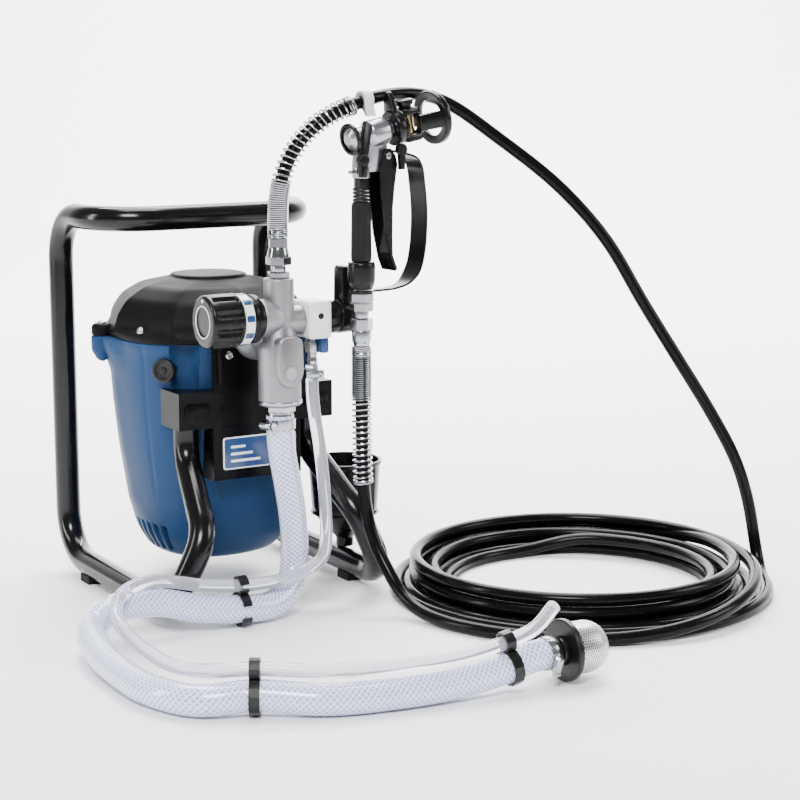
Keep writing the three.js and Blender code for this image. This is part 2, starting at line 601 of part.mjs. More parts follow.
// A solid built along the barrel (u along x, centred on the barrel axis) set into the gun frame.
const onBarrel = (body) => body.rotate([0, -gunPose.barrelTilt, 0]).translate([0, 0, gunPose.barrelZ]);
const along = (profile, segments = 14) => turned(profile, 'x', handle, segments);

function gunBody() {
  const head = onBarrel(along([[0, -9], [9.5, -9], [9.5, 4], [13.5, 8], [13.5, 26], [11, 30], [8.6, 30.5], [8.6, 43], [0, 43]], 16));
  const web = slab([[-7, 425], [20, 425], [27, 446], [24, 470], [-4, 462]], -7, 7);
  const neck = rod(8.5, 419.4, 430, 'z', handle, 12);
  const core = rod(7, 314, 420, 'z', handle, 12);
  const stub = rod(5.5, 304, 315, 'z', handle, 12);
  const bore = onBarrel(along([[0, 25], [4, 25], [4, 50], [0, 50]], 10));
  const pivot = rod(3, -20, 20, 'y', [27, 0, 440], 10);
  return cut(join(head, web, neck, core, stub), bore, pivot);
}

const gunGrip = () => turned([[7.35, 340.3], [10, 340.3], [9.6, 370], [9.3, 396], [8.2, 397], [8.2, 419], [7.35, 419]], 'z', handle, 16);

const gripCollar = () => turned([[7.35, 313.6], [10.5, 313.6], [13.2, 321], [13.4, 336], [12.6, 340], [7.35, 340]], 'z', handle, 16);

// Trigger: a channel hung from a cross pin, open towards the handle.
function gunTrigger() {
  const outline = [[20, 447], [27, 447], [33, 440], [35, 432], [31.5, 410], [29.5, 391], [29, 362], [29.5, 345],
    [35, 332], [32.5, 330], [27.4, 342], [22, 365], [18, 391], [15, 424]];
  const inner = [[8, 460], [8, 424], [14, 391], [18, 365], [24, 347], [27.2, 347], [27.2, 362], [27.7, 391],
    [29.7, 410], [33.2, 432], [30, 460]];
  const shell = cut(slab(outline, -11, 11), slab(inner, -9, 9));
  return join(shell, rod(2.6, -10.5, 10.5, 'y', [27, 0, 440], 10));
}

function triggerGuard() {
  const centre = new THREE.SplineCurve([[30, 444.6], [46, 442], [59, 436], [66, 420], [69, 395], [69.5, 370], [67, 345], [60, 326],
    [46, 315.5], [28, 311.9], [9, 311.8]].map((p) => new THREE.Vector2(...p))).getPoints(26).map(({ x, y }) => [x, y]);
  const thick = 1.1;
  const offset = (sign) => centre.map((p, i) => {
    const a = centre[Math.max(i - 1, 0)];
    const b = centre[Math.min(i + 1, centre.length - 1)];
    const length = Math.hypot(b[0] - a[0], b[1] - a[1]);
    return [p[0] - (sign * thick * (b[1] - a[1])) / length, p[1] + (sign * thick * (b[0] - a[0])) / length];
  });
  const strap = slab([...offset(1), ...offset(-1).reverse()], -12.5, 12.5);
  const washer = rod(12, 310.7, 312.9, 'z', handle, 14);
  const sideCut = (side) => block([-14, side > 0 ? 6.5 : -20, 300], [24, side > 0 ? 20 : -6.5, 320]);
  const topCut = (side) => block([10, side > 0 ? 6.8 : -20, 436], [50, side > 0 ? 20 : -6.8, 460]);
  const narrow = cut(strap, sideCut(1), sideCut(-1), topCut(1), topCut(-1));
  const bodySpace = onBarrel(along([[0, -12], [14.2, -12], [14.2, 34.8], [0, 34.8]], 16));
  return cut(join(narrow, washer), rod(5.9, 300, 320, 'z', handle, 12), bodySpace, block([10, -8, 440], [34.2, 8, 460]));
}

const triggerLock = () => {
  const hub = rod(5.5, -17, -11.6, 'y', [37, 0, 446], 12);
  const tab = slab([[33.5, 446], [40.5, 446], [39.5, 427], [34.5, 427]], -17, -12.4);
  return join(hub, tab);
};

// Hook over the hose: a stem on the head, up the near side, over and down on the far side.
function gunHook() {
  const centre = [hook.y, hook.z];
  const outer = arc(centre, hook.radius + 2.6, 215, 0, 12);
  const inner = arc(centre, hook.radius, 0, 225, 12);
  const outline = [[1.2, hook.foot], ...outer, ...inner, [5.2, hook.foot]];
  const strap = new THREE.Shape(outline.map(([y, z]) => new THREE.Vector2(y, z)));
  const geometry = new THREE.ExtrudeGeometry(strap, { depth: hook.width, bevelEnabled: false });
  geometry.rotateX(Math.PI / 2).rotateZ(Math.PI / 2);
  return solid(geometry.translate(hook.x - hook.width / 2, 0, 0));
}

function guardNut() {
  const nut = along([[8.9, 35.3], [17, 35.3], [17, 43.7], [8.9, 43.7]], 14);
  const ear = slab([[36.5, 15], [42.5, 15], [42.5, 33], [41, 35.5], [38, 35.5], [36.5, 33]], -3, 3);
  return onBarrel(join(nut, ear));
}

function tipGuard() {
  const shell = along([[9, 44.3], [16.5, 44.3], [16.5, 62], [26, 84], [26, 90], [22.5, 90], [22.5, 85], [14, 64], [9, 64]], 18);
  const windows = join(block([64.2, -40, -11], [83.5, 40, 11]), block([46.5, -40, -8.5], [62, -9.5, 8.5]));
  const tipBore = rod(7.7, -30, 30, 'z', [56, 0, 0], 12);
  return onBarrel(cut(shell, windows, tipBore));
}

function sprayTip() {
  const stem = rod(6.4, -15.5, 18.7, 'z', [56, 0, 0], 12);
  const head = rod(8.5, 18.5, 24, 'z', [56, 0, 0], 12);
  const orifice = rod(1.2, 40, 70, 'x', handle, 8);
  return onBarrel(cut(join(stem, head), orifice));
}

const needleCap = () => onBarrel(along([[0, -16], [13, -16], [15, -14.5], [15, -11], [13, -9 - gap], [0, -9 - gap]], 18));

function gunFitting() {
  const body = turned([[0, 286], [7, 286], [7, 292.5], [11, 292.5], [11, 301], [10, 301], [10, 303.7], [0, 303.7]], 'z', handle, 14);
  const nuts = [hex(19.5, 292.6, 301, 'z', handle), hex(21, 302, 310.4, 'z', handle)];
  const socket = rod(5.8, 303.6, 312, 'z', handle, 12);
  return cut(join(body, ...nuts), socket, rod(3, 280, 305, 'z', handle, 10));
}

function gunSwivel() {
  const body = turned([[0, 259], [8, 259], [8, 262], [9.4, 264], [9.4, 274.5], [0, 274.5]], 'z', handle, 14);
  return cut(join(body, hex(19, 274, 286 - gap, 'z', handle)), rod(3, 250, 290, 'z', handle, 10));
}

function gunSpringGuard() {
  const stations = [new THREE.Vector3(gunPose.x, gunPose.y, 258.4), ...tailStations.slice(1, 8)];
  return swept(stations, springWall.open, 10, springWall.inner, 8);
}

// ---------------------------------------------------------------- assembly
const sprayer = new THREE.Group();
const machine = new THREE.Group();
const gun = new THREE.Group();
sprayer.add(machine);
machine.position.set(-origin.x, -origin.y, 0);
gun.position.set(gunPose.x, gunPose.y, 0);
gun.rotation.z = THREE.MathUtils.degToRad(gunPose.heading);
machine.add(gun);

function place(parent, name, body, material) {
  const mesh = new THREE.Mesh(geometryOf(body), material);
  mesh.name = name;
  parent.add(mesh);
}

for (const [side, label] of [[-1, 'left'], [1, 'right']]) {
  place(machine, `frame_tube_${label}`, frameTube(side), finishes.frame);
  place(machine, `foot_front_${label}`, foot(side, -64), finishes.rubber);
  place(machine, `foot_rear_${label}`, foot(side, 60), finishes.rubber);
}
place(machine, 'front_bracket', frontBracket(), finishes.sheet);
place(machine, 'label_panel', labelPanel(), finishes.sheet);
place(machine, 'parking_cup', parkingCup(), finishes.black);

place(machine, 'motor_housing', motorHousing(), finishes.blue);
place(machine, 'top_cover', topCover(), finishes.black);
place(machine, 'brush_cap_left', brushCapPiece(brushCap.angle), finishes.black);
place(machine, 'brush_cap_right', brushCapPiece(brushCap.angle - 180), finishes.black);
place(machine, 'power_rocker', powerRocker(), finishes.black);
place(machine, 'cable_gland', cableGland(), finishes.black);

place(machine, 'motor_stator', motorStator(), finishes.steel);
place(machine, 'motor_rotor', rotorPiece(), finishes.copper);
place(machine, 'cooling_fan', coolingFan(), finishes.black);
place(machine, 'gearbox_plate', gearboxPlate(), finishes.cast);
place(machine, 'drive_gear', driveGear(), finishes.steel);
place(machine, 'drive_yoke', driveYoke(), finishes.steel);
place(machine, 'piston_rod', pistonRod(), finishes.zinc);
place(machine, 'piston_packing', pistonPacking(), finishes.rubber);
place(machine, 'inlet_ball', ball(6, 222.4), finishes.zinc);
place(machine, 'outlet_ball', ball(5.6, 299.8), finishes.zinc);

place(machine, 'pump_manifold', pumpManifold(), finishes.cast);
place(machine, 'inlet_fitting', inletFitting(), finishes.zinc);
place(machine, 'regulator_collar', regulatorCollar(), finishes.black);
place(machine, 'pressure_knob', pressureKnob(), finishes.black);
place(machine, 'valve_block', valveBlock(), finishes.cast);
place(machine, 'valve_collar', valveCollar(), finishes.black);
place(machine, 'prime_lever', primeLever(), finishes.black);
place(machine, 'return_barb', returnBarb(), finishes.zinc);
place(machine, 'outlet_nipple', outletNipple(), finishes.zinc);
place(machine, 'hose_nut', hoseNut(), finishes.zinc);
place(machine, 'pump_spring_guard', pumpSpringGuard(), finishes.zinc);

place(gun, 'gun_body', gunBody(), finishes.cast);
place(gun, 'gun_grip', gunGrip(), finishes.grip);
place(gun, 'grip_collar', gripCollar(), finishes.black);
place(gun, 'gun_trigger', gunTrigger(), finishes.black);
place(gun, 'trigger_guard', triggerGuard(), finishes.sheet);
place(gun, 'trigger_lock', triggerLock(), finishes.black);
place(gun, 'gun_hook', gunHook(), finishes.cast);
place(gun, 'guard_nut', guardNut(), finishes.black);
place(gun, 'tip_guard', tipGuard(), finishes.black);
place(gun, 'spray_tip', sprayTip(), finishes.brass);
place(gun, 'needle_cap', needleCap(), finishes.zinc);
place(gun, 'gun_fitting', gunFitting(), finishes.zinc);
place(gun, 'gun_swivel', gunSwivel(), finishes.zinc);
place(machine, 'gun_spring_guard', gunSpringGuard(), finishes.zinc);

place(machine, 'hose_arch', swept(archStations, pressureHose, 8), finishes.hose);
place(machine, 'hose_coil', hoseCoil(), finishes.hose);
place(machine, 'hose_tail', swept(tailStations, pressureHose, 8), finishes.hose);
place(machine, 'suction_hose', swept(smooth(suctionRoute, 36), suctionHose, 9), finishes.braid);
place(machine, 'return_tube', swept(smooth(returnRoute, 40), returnTube, 8), finishes.clear);
place(machine, 'tube_clip_1', tubeClip([-58, -162, 17], 180), finishes.black);
place(machine, 'tube_clip_2', tubeClip([-163, -396, 17], -31), finishes.black);
place(machine, 'tube_clip_3', tubeClip([50, -454.5, 22.6], -1, 10), finishes.black);
place(machine, 'strainer_cap', strainerCap(), finishes.black);
place(machine, 'strainer_mesh', strainerMesh(), finishes.steel);

export default sprayer;
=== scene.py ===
"""Airless paint sprayer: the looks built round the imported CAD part.

Lengths inside the builders are millimetres measured from the stand's centre on the floor.
row() turns them into metres in the row frame."""
import math

import bpy
import numpy as np
from mathutils import Euler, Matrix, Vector


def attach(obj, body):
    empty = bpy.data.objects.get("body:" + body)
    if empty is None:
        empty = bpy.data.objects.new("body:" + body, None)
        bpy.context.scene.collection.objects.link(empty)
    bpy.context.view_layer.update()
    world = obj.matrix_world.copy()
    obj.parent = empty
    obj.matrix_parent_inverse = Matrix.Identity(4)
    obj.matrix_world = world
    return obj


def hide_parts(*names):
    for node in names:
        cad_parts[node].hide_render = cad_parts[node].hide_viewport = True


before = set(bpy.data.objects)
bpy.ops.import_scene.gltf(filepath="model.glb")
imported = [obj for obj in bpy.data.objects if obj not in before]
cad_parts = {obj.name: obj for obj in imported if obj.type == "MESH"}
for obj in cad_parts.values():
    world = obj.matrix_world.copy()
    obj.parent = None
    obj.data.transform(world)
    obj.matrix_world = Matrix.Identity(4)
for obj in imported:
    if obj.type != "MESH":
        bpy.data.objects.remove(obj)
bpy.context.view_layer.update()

ORIGIN = np.array([18.91, -21.97, 0.0])  # base centre seen from the stand's centre, mm
PUMP = np.array([0.0, -134.0, 0.0])
CASE_Y = 20.0
GUN = np.array([73.9, -163.0, 0.0])
GUN_TURN = math.radians(6.0)
BARREL_TILT = math.radians(10.9)
BARREL_Z = 458.3
HOSE = 6.35
SUCTION = 13.5
RETURN = 6.2
COIL = np.array([294.0, -216.0])
CUP = (121, -45)
STRAINER = (0, -455, 28)
HEADING = math.radians(31.2)  # the camera looks this far to the right of the machine's +Y
LUG_ANGLES = (165, 15)


def row(points):
    """Millimetres from the stand's centre to metres in the row frame."""
    return (np.asarray(points, float) - ORIGIN) / 1000.0


# ------------------------------------------------------------------ camera and lights
def camera():
    """The view: machine at the left, coil at the right, the lens a little above the gun."""
    data = bpy.data.cameras.new("camera")
    data.sensor_width = 36.0
    data.lens = 87.75
    data.clip_end = 50.0
    obj = bpy.data.objects.new("camera", data)
    obj.location = row([-855.0, -1768.0, 535.0])
    obj.rotation_euler = Euler((math.radians(79.94), 0.0, -HEADING))
    bpy.context.scene.collection.objects.link(obj)
    bpy.context.scene.camera = obj


def area_light(name, place, target, size, power):
    """One rectangular light aimed at a point; places in metres in the row frame."""
    data = bpy.data.lights.new(name, "AREA")
    data.shape = "RECTANGLE"
    data.size = size[0]
    data.size_y = size[1]
    data.energy = power
    obj = bpy.data.objects.new(name, data)
    obj.location = place
    obj.rotation_euler = (Vector(target) - Vector(place)).to_track_quat("-Z", "Y").to_euler()
    bpy.context.scene.collection.objects.link(obj)


def studio():
    """Soft light from four sides, one light for the sheet behind the machine, and a weak even sky."""
    area_light("key", (-1.5, -2.1, 2.3), (0.05, -0.1, 0.2), (1.1, 0.9), 135)
    area_light("fill", (2.2, -1.6, 1.3), (0.1, -0.1, 0.2), (1.0, 1.2), 36)
    area_light("top", (0.2, 0.3, 2.4), (0.1, -0.1, 0.0), (1.3, 1.3), 75)
    area_light("side", (-2.4, 0.5, 0.9), (0.0, 0.0, 0.3), (0.35, 1.6), 34)
    area_light("backdrop", (1.2, 1.4, 3.0), (2.0, 3.2, 0.2), (3.2, 0.8), 520)
    world = bpy.data.worlds.new("studio")
    world.use_nodes = True
    world.node_tree.nodes["Background"].inputs["Color"].default_value = (1, 1, 1, 1)
    world.node_tree.nodes["Background"].inputs["Strength"].default_value = 0.28
    bpy.context.scene.world = world


camera()
studio()


# ------------------------------------------------------------------ node groups
def socket(group, name, direction, kind, value=None):
    made = group.interface.new_socket(name=name, in_out=direction, socket_type=kind)
    if value is not None:
        made.default_value = value


def link(tree, a, b):
    tree.links.new(a, b)


def grain_group():
    """Fine and broad noise on one vector: Tint is the broad cloud, Height the fine grain."""
    group = bpy.data.node_groups.new("grain", "ShaderNodeTree")
    socket(group, "Vector", "INPUT", "NodeSocketVector")
    socket(group, "Fine", "INPUT", "NodeSocketFloat", 900.0)
    socket(group, "Broad", "INPUT", "NodeSocketFloat", 12.0)
    socket(group, "Tint", "OUTPUT", "NodeSocketFloat")
    socket(group, "Height", "OUTPUT", "NodeSocketFloat")
    start = group.nodes.new("NodeGroupInput")
    end = group.nodes.new("NodeGroupOutput")
    for scale, detail, out in (("Broad", 3.0, "Tint"), ("Fine", 2.0, "Height")):
        noise = group.nodes.new("ShaderNodeTexNoise")
        noise.inputs["Detail"].default_value = detail
        link(group, start.outputs["Vector"], noise.inputs["Vector"])
        link(group, start.outputs[scale], noise.inputs["Scale"])
        link(group, noise.outputs["Fac"], end.inputs[out])
    return group


def lattice_group():
    """Two sets of lines that cross on (u along, v round). Lines is 1 on a line; Over says which is on top."""
    group = bpy.data.node_groups.new("lattice", "ShaderNodeTree")
    socket(group, "Vector", "INPUT", "NodeSocketVector")
    socket(group, "Along", "INPUT", "NodeSocketFloat", 100.0)
    socket(group, "Round", "INPUT", "NodeSocketFloat", 8.0)
    socket(group, "Thin", "INPUT", "NodeSocketFloat", 0.8)
    socket(group, "Lines", "OUTPUT", "NodeSocketFloat")
    socket(group, "Over", "OUTPUT", "NodeSocketFloat")
    start = group.nodes.new("NodeGroupInput")
    end = group.nodes.new("NodeGroupOutput")
    split = group.nodes.new("ShaderNodeSeparateXYZ")
    link(group, start.outputs["Vector"], split.inputs[0])

    def math_node(operation, a, b=None):
        node = group.nodes.new("ShaderNodeMath")
        node.operation = operation
        for k, value in enumerate((a, b)):
            if value is None:
                continue
            if isinstance(value, (int, float)):
                node.inputs[k].default_value = value
            else:
                link(group, value, node.inputs[k])
        return node.outputs[0]

    along = math_node("MULTIPLY", split.outputs[0], start.outputs["Along"])
    around = math_node("MULTIPLY", split.outputs[1], start.outputs["Round"])
    sets = []
    for operation in ("ADD", "SUBTRACT"):
        phase = math_node(operation, along, around)
        wave = math_node("SINE", math_node("MULTIPLY", phase, 2 * math.pi))
        sets.append(wave)
    top = math_node("MAXIMUM", sets[0], sets[1])
    lines = math_node("GREATER_THAN", top, start.outputs["Thin"])
    over = math_node("GREATER_THAN", sets[0], sets[1])
    link(group, lines, end.inputs["Lines"])
    link(group, over, end.inputs["Over"])
    return group


GRAIN = grain_group()
LATTICE = lattice_group()


# ------------------------------------------------------------------ materials
def new_material(name):
    """A node material and its shader."""
    material = bpy.data.materials.new(name)
    material.use_nodes = True
    tree = material.node_tree
    return material, tree, tree.nodes["Principled BSDF"]


def put_grain(tree, source, fine, broad):
    """Adds the grain group to a material."""
    node = tree.nodes.new("ShaderNodeGroup")
    node.node_tree = GRAIN
    node.inputs["Fine"].default_value = fine
    node.inputs["Broad"].default_value = broad
    link(tree, source, node.inputs["Vector"])
    return node


def spread(tree, value, low, high):
    """Stretches the middle of a noise to the range low to high."""
    node = tree.nodes.new("ShaderNodeMapRange")
    node.inputs["From Min"].default_value = 0.3
    node.inputs["From Max"].default_value = 0.7
    node.inputs["To Min"].default_value = low
    node.inputs["To Max"].default_value = high
    link(tree, value, node.inputs["Value"])
    return node.outputs["Result"]


def mix(tree, factor, a, b):
    """Mixes two colours or sockets by a factor."""
    node = tree.nodes.new("ShaderNodeMix")
    node.data_type = "RGBA"
    for k, value in ((6, a), (7, b)):
        if isinstance(value, tuple):
            node.inputs[k].default_value = (*value, 1.0)
        else:
            link(tree, value, node.inputs[k])
    link(tree, factor, node.inputs[0])
    return node.outputs[2]


def bump(tree, height, strength, distance):
    """A bump normal; the distance is in metres."""
    node = tree.nodes.new("ShaderNodeBump")
    node.inputs["Strength"].default_value = strength
    node.inputs["Distance"].default_value = distance
    link(tree, height, node.inputs["Height"])
    return node.outputs["Normal"]


def finish(
    name, color, rough, metallic=0.0, fine=900.0, broad=14.0, depth=0.05, coat=0.0, shade=0.88, bite=0.25,
    shine=0.5
):
    """A moulded, painted or metal surface: slight cloud in colour and gloss, fine grain in height."""
    material, tree, shader = new_material(name)
    coords = tree.nodes.new("ShaderNodeTexCoord")
    grain = put_grain(tree, coords.outputs["Object"], fine, broad)
    dark = tuple(c * shade for c in color)
    link(
        tree, mix(tree, spread(tree, grain.outputs["Tint"], 0.0, 1.0), dark, color),
        shader.inputs["Base Color"]
    )
    link(tree, spread(tree, grain.outputs["Tint"], rough[0], rough[1]), shader.inputs["Roughness"])
    shader.inputs["Metallic"].default_value = metallic
    shader.inputs["Coat Weight"].default_value = coat
    shader.inputs["Coat Roughness"].default_value = 0.08
    shader.inputs["Specular IOR Level"].default_value = shine
    link(tree, bump(tree, grain.outputs["Height"], bite, depth * 0.001), shader.inputs["Normal"])
    return material


def lattice_material(
    name, base, line, along, around, thin, rough, second=None, coat=0.3, depth=0.2, metallic=0.0,
    shine=0.5
):
    """A surface with a crossing lattice in its own UV: braid, knurling or woven wire."""
    material, tree, shader = new_material(name)
    coords = tree.nodes.new("ShaderNodeTexCoord")
    node = tree.nodes.new("ShaderNodeGroup")
    node.node_tree = LATTICE
    node.inputs["Along"].default_value = along
    node.inputs["Round"].default_value = around
    node.inputs["Thin"].default_value = thin
    link(tree, coords.outputs["UV"], node.inputs["Vector"])
    strand = mix(tree, node.outputs["Over"], second or line, line)
    link(tree, mix(tree, node.outputs["Lines"], base, strand), shader.inputs["Base Color"])
    grain = put_grain(tree, coords.outputs["Object"], 500.0, 30.0)
    link(tree, spread(tree, grain.outputs["Tint"], rough[0], rough[1]), shader.inputs["Roughness"])
    shader.inputs["Metallic"].default_value = metallic
    shader.inputs["Coat Weight"].default_value = coat
    shader.inputs["Specular IOR Level"].default_value = shine
    link(tree, bump(tree, node.outputs["Lines"], 0.6, depth * 0.001), shader.inputs["Normal"])
    return material


def clear_material():
    """Soft clear tube: pale, glossy and partly seen through."""
    material, tree, shader = new_material("clear_tube")
    coords = tree.nodes.new("ShaderNodeTexCoord")
    grain = put_grain(tree, coords.outputs["Object"], 200.0, 25.0)
    link(
        tree, mix(tree, grain.outputs["Tint"], (0.8, 0.82, 0.9), (0.93, 0.93, 0.97)),
        shader.inputs["Base Color"]
    )
    link(tree, spread(tree, grain.outputs["Tint"], 0.08, 0.2), shader.inputs["Roughness"])
    shader.inputs["Transmission Weight"].default_value = 0.75
    shader.inputs["IOR"].default_value = 1.35
    return material


MAT = {
    "enamel": finish(
        "black_enamel", (0.003, 0.003, 0.0033), (0.13, 0.22), 0.0, 300, 9, 0.03, 0.0, shine=0.3
    ),
    "sheet": finish(
        "black_sheet", (0.003, 0.003, 0.0035), (0.2, 0.3), 0.0, 350, 10, 0.04, 0.0, shine=0.08
    ),
    "blue": finish(
        "blue_case", (0.0105, 0.039, 0.108), (0.38, 0.5), 0.0, 1400, 8, 0.06, 0.0, 0.86, 0.4, 0.12
    ),
    "case_black": finish(
        "black_case", (0.005, 0.005, 0.0055), (0.42, 0.55), 0.0, 1300, 9, 0.06, 0.0, 0.86, 0.4, 0.05
    ),
    "plastic": finish(
        "black_plastic", (0.003, 0.003, 0.0035), (0.28, 0.4), 0.0, 1100, 16, 0.04, 0.0, shine=0.3
    ),
    "gloss": finish(
        "black_gloss", (0.003, 0.003, 0.0033), (0.2, 0.3), 0.0, 700, 18, 0.03, 0.0, shine=0.25
    ),
    "rubber": finish("foot_rubber", (0.005, 0.005, 0.005), (0.6, 0.8), 0.0, 900, 20, 0.1, shine=0.25),
    "cast": finish("cast_alloy", (0.3, 0.3, 0.315), (0.34, 0.52), 0.85, 700, 22, 0.16, 0.0, 0.8, 0.6),
    "silver": finish("gun_alloy", (0.4, 0.4, 0.43), (0.2, 0.34), 0.95, 600, 26, 0.06, 0.0, 0.82, 0.35),
    "zinc": finish("bright_zinc", (0.43, 0.44, 0.46), (0.14, 0.26), 1.0, 500, 30, 0.03, 0.0, 0.8),
    "steel": finish("dull_steel", (0.42, 0.43, 0.45), (0.3, 0.45), 1.0, 450, 20, 0.05),
    "copper": finish("rotor_metal", (0.55, 0.3, 0.18), (0.3, 0.5), 0.9, 300, 25, 0.1),
    "brass": finish("tip_brass", (0.86, 0.6, 0.26), (0.16, 0.3), 1.0, 500, 30, 0.04),
    "white": finish("white_block", (0.8, 0.81, 0.83), (0.3, 0.4), 0.0, 900, 20, 0.03, 0.2, 0.94),
    "grey": finish("grey_moulding", (0.66, 0.66, 0.64), (0.35, 0.5), 0.0, 900, 20, 0.04, 0.1, 0.92),
    "tab_blue": finish("blue_tab", (0.008, 0.045, 0.16), (0.3, 0.42), 0.0, 900, 20, 0.04, 0.2),
    "label_white": finish("label_white", (0.82, 0.83, 0.85), (0.3, 0.4), 0.0, 900, 12, 0.01, 0.3, 0.96),
    "label_blue": finish("label_blue", (0.006, 0.04, 0.14), (0.26, 0.36), 0.0, 900, 12, 0.01, 0.4, 0.92),
    # near-black matte, used only for the case seam ring: painted shade in the gap between bucket and cover
    "dark": finish("gap_shade_painted", (0.004, 0.004, 0.004), (0.7, 0.9), 0.0, 300, 10, 0.02),
    "sheath": finish(
        "hose_sheath", (0.003, 0.003, 0.0033), (0.15, 0.26), 0.0, 500, 60, 0.05, 0.0, shine=0.1
    ),
    "grip": lattice_material(
        "knurled_grip", (0.003, 0.003, 0.003), (0.016, 0.016, 0.017), 420, 24, 0.6, (0.5, 0.65), None,
        0.0, 0.5, shine=0.12
    ),
    "braid": lattice_material(
        "braided_tube", (0.36, 0.38, 0.68), (0.86, 0.87, 0.95), 200, 14, 0.62, (0.1, 0.2),
        (0.74, 0.76, 0.92), 0.5, 0.1
    ),
    # strainer screen: the light lines are the wires' own metal colour; the near-black base between them is
    # painted shade seen through the holes
    "wire": lattice_material(
        "wire_mesh_hole_shade", (0.02, 0.02, 0.02), (0.66, 0.66, 0.68), 420, 30, 0.2, (0.25, 0.4), None, 0.0, 0.4,
        0.9
    ),
    "clear": clear_material(),
}


# ------------------------------------------------------------------ surfaces
def grid(points, closed=True, caps=(True, True), length_uv=None):
    """A surface given as rows of points along a path, each row once round; caps close the two ends."""
    points = np.asarray(points, float)
    rows, cols = points.shape[:2]
    ids = np.arange(rows * cols).reshape(rows, cols)
    a = ids[:-1, :]
    b = ids[1:, :]
    if closed:
        quads = np.stack([a, np.roll(a, -1, 1), np.roll(b, -1, 1), b], -1).reshape(-1, 4)
    else:
        quads = np.stack([a[:, :-1], a[:, 1:], b[:, 1:], b[:, :-1]], -1).reshape(-1, 4)
    ends = []
    if caps[0]:
        ends.append(ids[0, ::-1])
    if caps[1]:
        ends.append(ids[-1])
    along = np.zeros(rows) if length_uv is None else np.asarray(length_uv, float)
    uv = np.stack(np.broadcast_arrays(along[:, None], np.arange(cols)[None, :] / cols), -1).reshape(-1, 2)
    return {"v": points.reshape(-1, 3), "q": quads, "n": ends, "uv": uv}


def merge(*parts):
    """Several closed surfaces as one geometry."""
    shift = 0
    out = {"v": [], "q": [], "n": [], "uv": []}
    for part in parts:
        out["v"].append(part["v"])
        out["q"].append(part["q"] + shift)
        out["n"].extend(end + shift for end in part["n"])
        out["uv"].append(part["uv"])
        shift += len(part["v"])
    return {
        "v": np.concatenate(out["v"]), "q": np.concatenate(out["q"]), "n": out["n"],
        "uv": np.concatenate(out["uv"])
    }


def moved(part, function):
    """The same geometry with its points passed through a function."""
    return {**part, "v": function(part["v"])}


def piece(name, part, material, body="machine", stands_for=(), sharp=38.0):
    """Makes the mesh object, smooth but for edges above an angle, and ties it to its CAD body."""
    mesh = bpy.data.meshes.new(name)
    faces = part["q"].tolist() + [list(map(int, end)) for end in part["n"]]
    mesh.from_pydata(row(part["v"]).tolist(), [], faces)
    layer = mesh.uv_layers.new(name="uv")
    corner = np.zeros(len(mesh.loops), np.int32)
    mesh.loops.foreach_get("vertex_index", corner)
    layer.data.foreach_set("uv", part["uv"][corner].astype(np.float32).ravel())
    mesh.polygons.foreach_set("use_smooth", np.ones(len(mesh.polygons), bool))
    mesh.set_sharp_from_angle(angle=math.radians(sharp))
    mesh.materials.append(MAT[material])
    mesh.validate()
    obj = bpy.data.objects.new(name, mesh)
    bpy.context.scene.collection.objects.link(obj)
    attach(obj, body)
    if stands_for:
        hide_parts(*stands_for)
    return obj


def soften(profile, radius, steps=4, closed=False):
    """Rounds the corners of a polyline with parabolic arcs, at most 0.4 of each neighbour edge long."""
    points = np.asarray(profile, float)
    out = [] if closed else [points[0]]
    count = len(points)
    places = range(count) if closed else range(1, count - 1)
    for i in places:
        here = points[i]
        before = points[i - 1] - here
        after = points[(i + 1) % count] - here
        lengths = np.linalg.norm(before), np.linalg.norm(after)
        reach = min(radius, 0.4 * lengths[0], 0.4 * lengths[1])
        a = here + before / max(lengths[0], 1e-9) * reach
        b = here + after / max(lengths[1], 1e-9) * reach
        t = np.linspace(0, 1, steps + 1)[:, None]
        out.extend((1 - t) ** 2 * a + 2 * t * (1 - t) * here + t**2 * b)
    if not closed:
        out.append(points[-1])
    return np.asarray(out)


def rect(left, low, right, high):
    """Four corners of an upright rectangle."""
    return [(left, low), (right, low), (right, high), (left, high)]


AXES = {"x": (np.array([0, 1.0, 0]), np.array([0, 0, 1.0]), np.array([1.0, 0, 0])),
        "y": (np.array([0, 0, 1.0]), np.array([1.0, 0, 0]), np.array([0, 1.0, 0])),
        "z": (np.array([1.0, 0, 0]), np.array([0, 1.0, 0]), np.array([0, 0, 1.0]))}


def turned(profile, axis="z", centre=(0, 0, 0), round_=0.8, sides=64, turn=0.0, steps=3):
    """Profile of (radius, place along the axis) turned about the axis; its corners are rounded."""
    line = soften(profile, round_, steps) if round_ else np.asarray(profile, float)
    line = line[np.concatenate([[True], np.linalg.norm(np.diff(line, axis=0), axis=1) > 1e-6])]
    line[:, 0] = np.maximum(line[:, 0], 0.02)
    across, up, along = AXES[axis]
    angle = turn + 2 * math.pi * np.arange(sides) / sides
    ring = np.cos(angle)[:, None] * across + np.sin(angle)[:, None] * up
    radius, place = line[:, 0][:, None, None], line[:, 1][:, None, None]
    points = radius * ring[None] + place * along + np.asarray(centre, float)
    travel = np.concatenate([[0], np.cumsum(np.linalg.norm(np.diff(line, axis=0), axis=1))]) / 1000
    return grid(points, True, (True, True), travel)


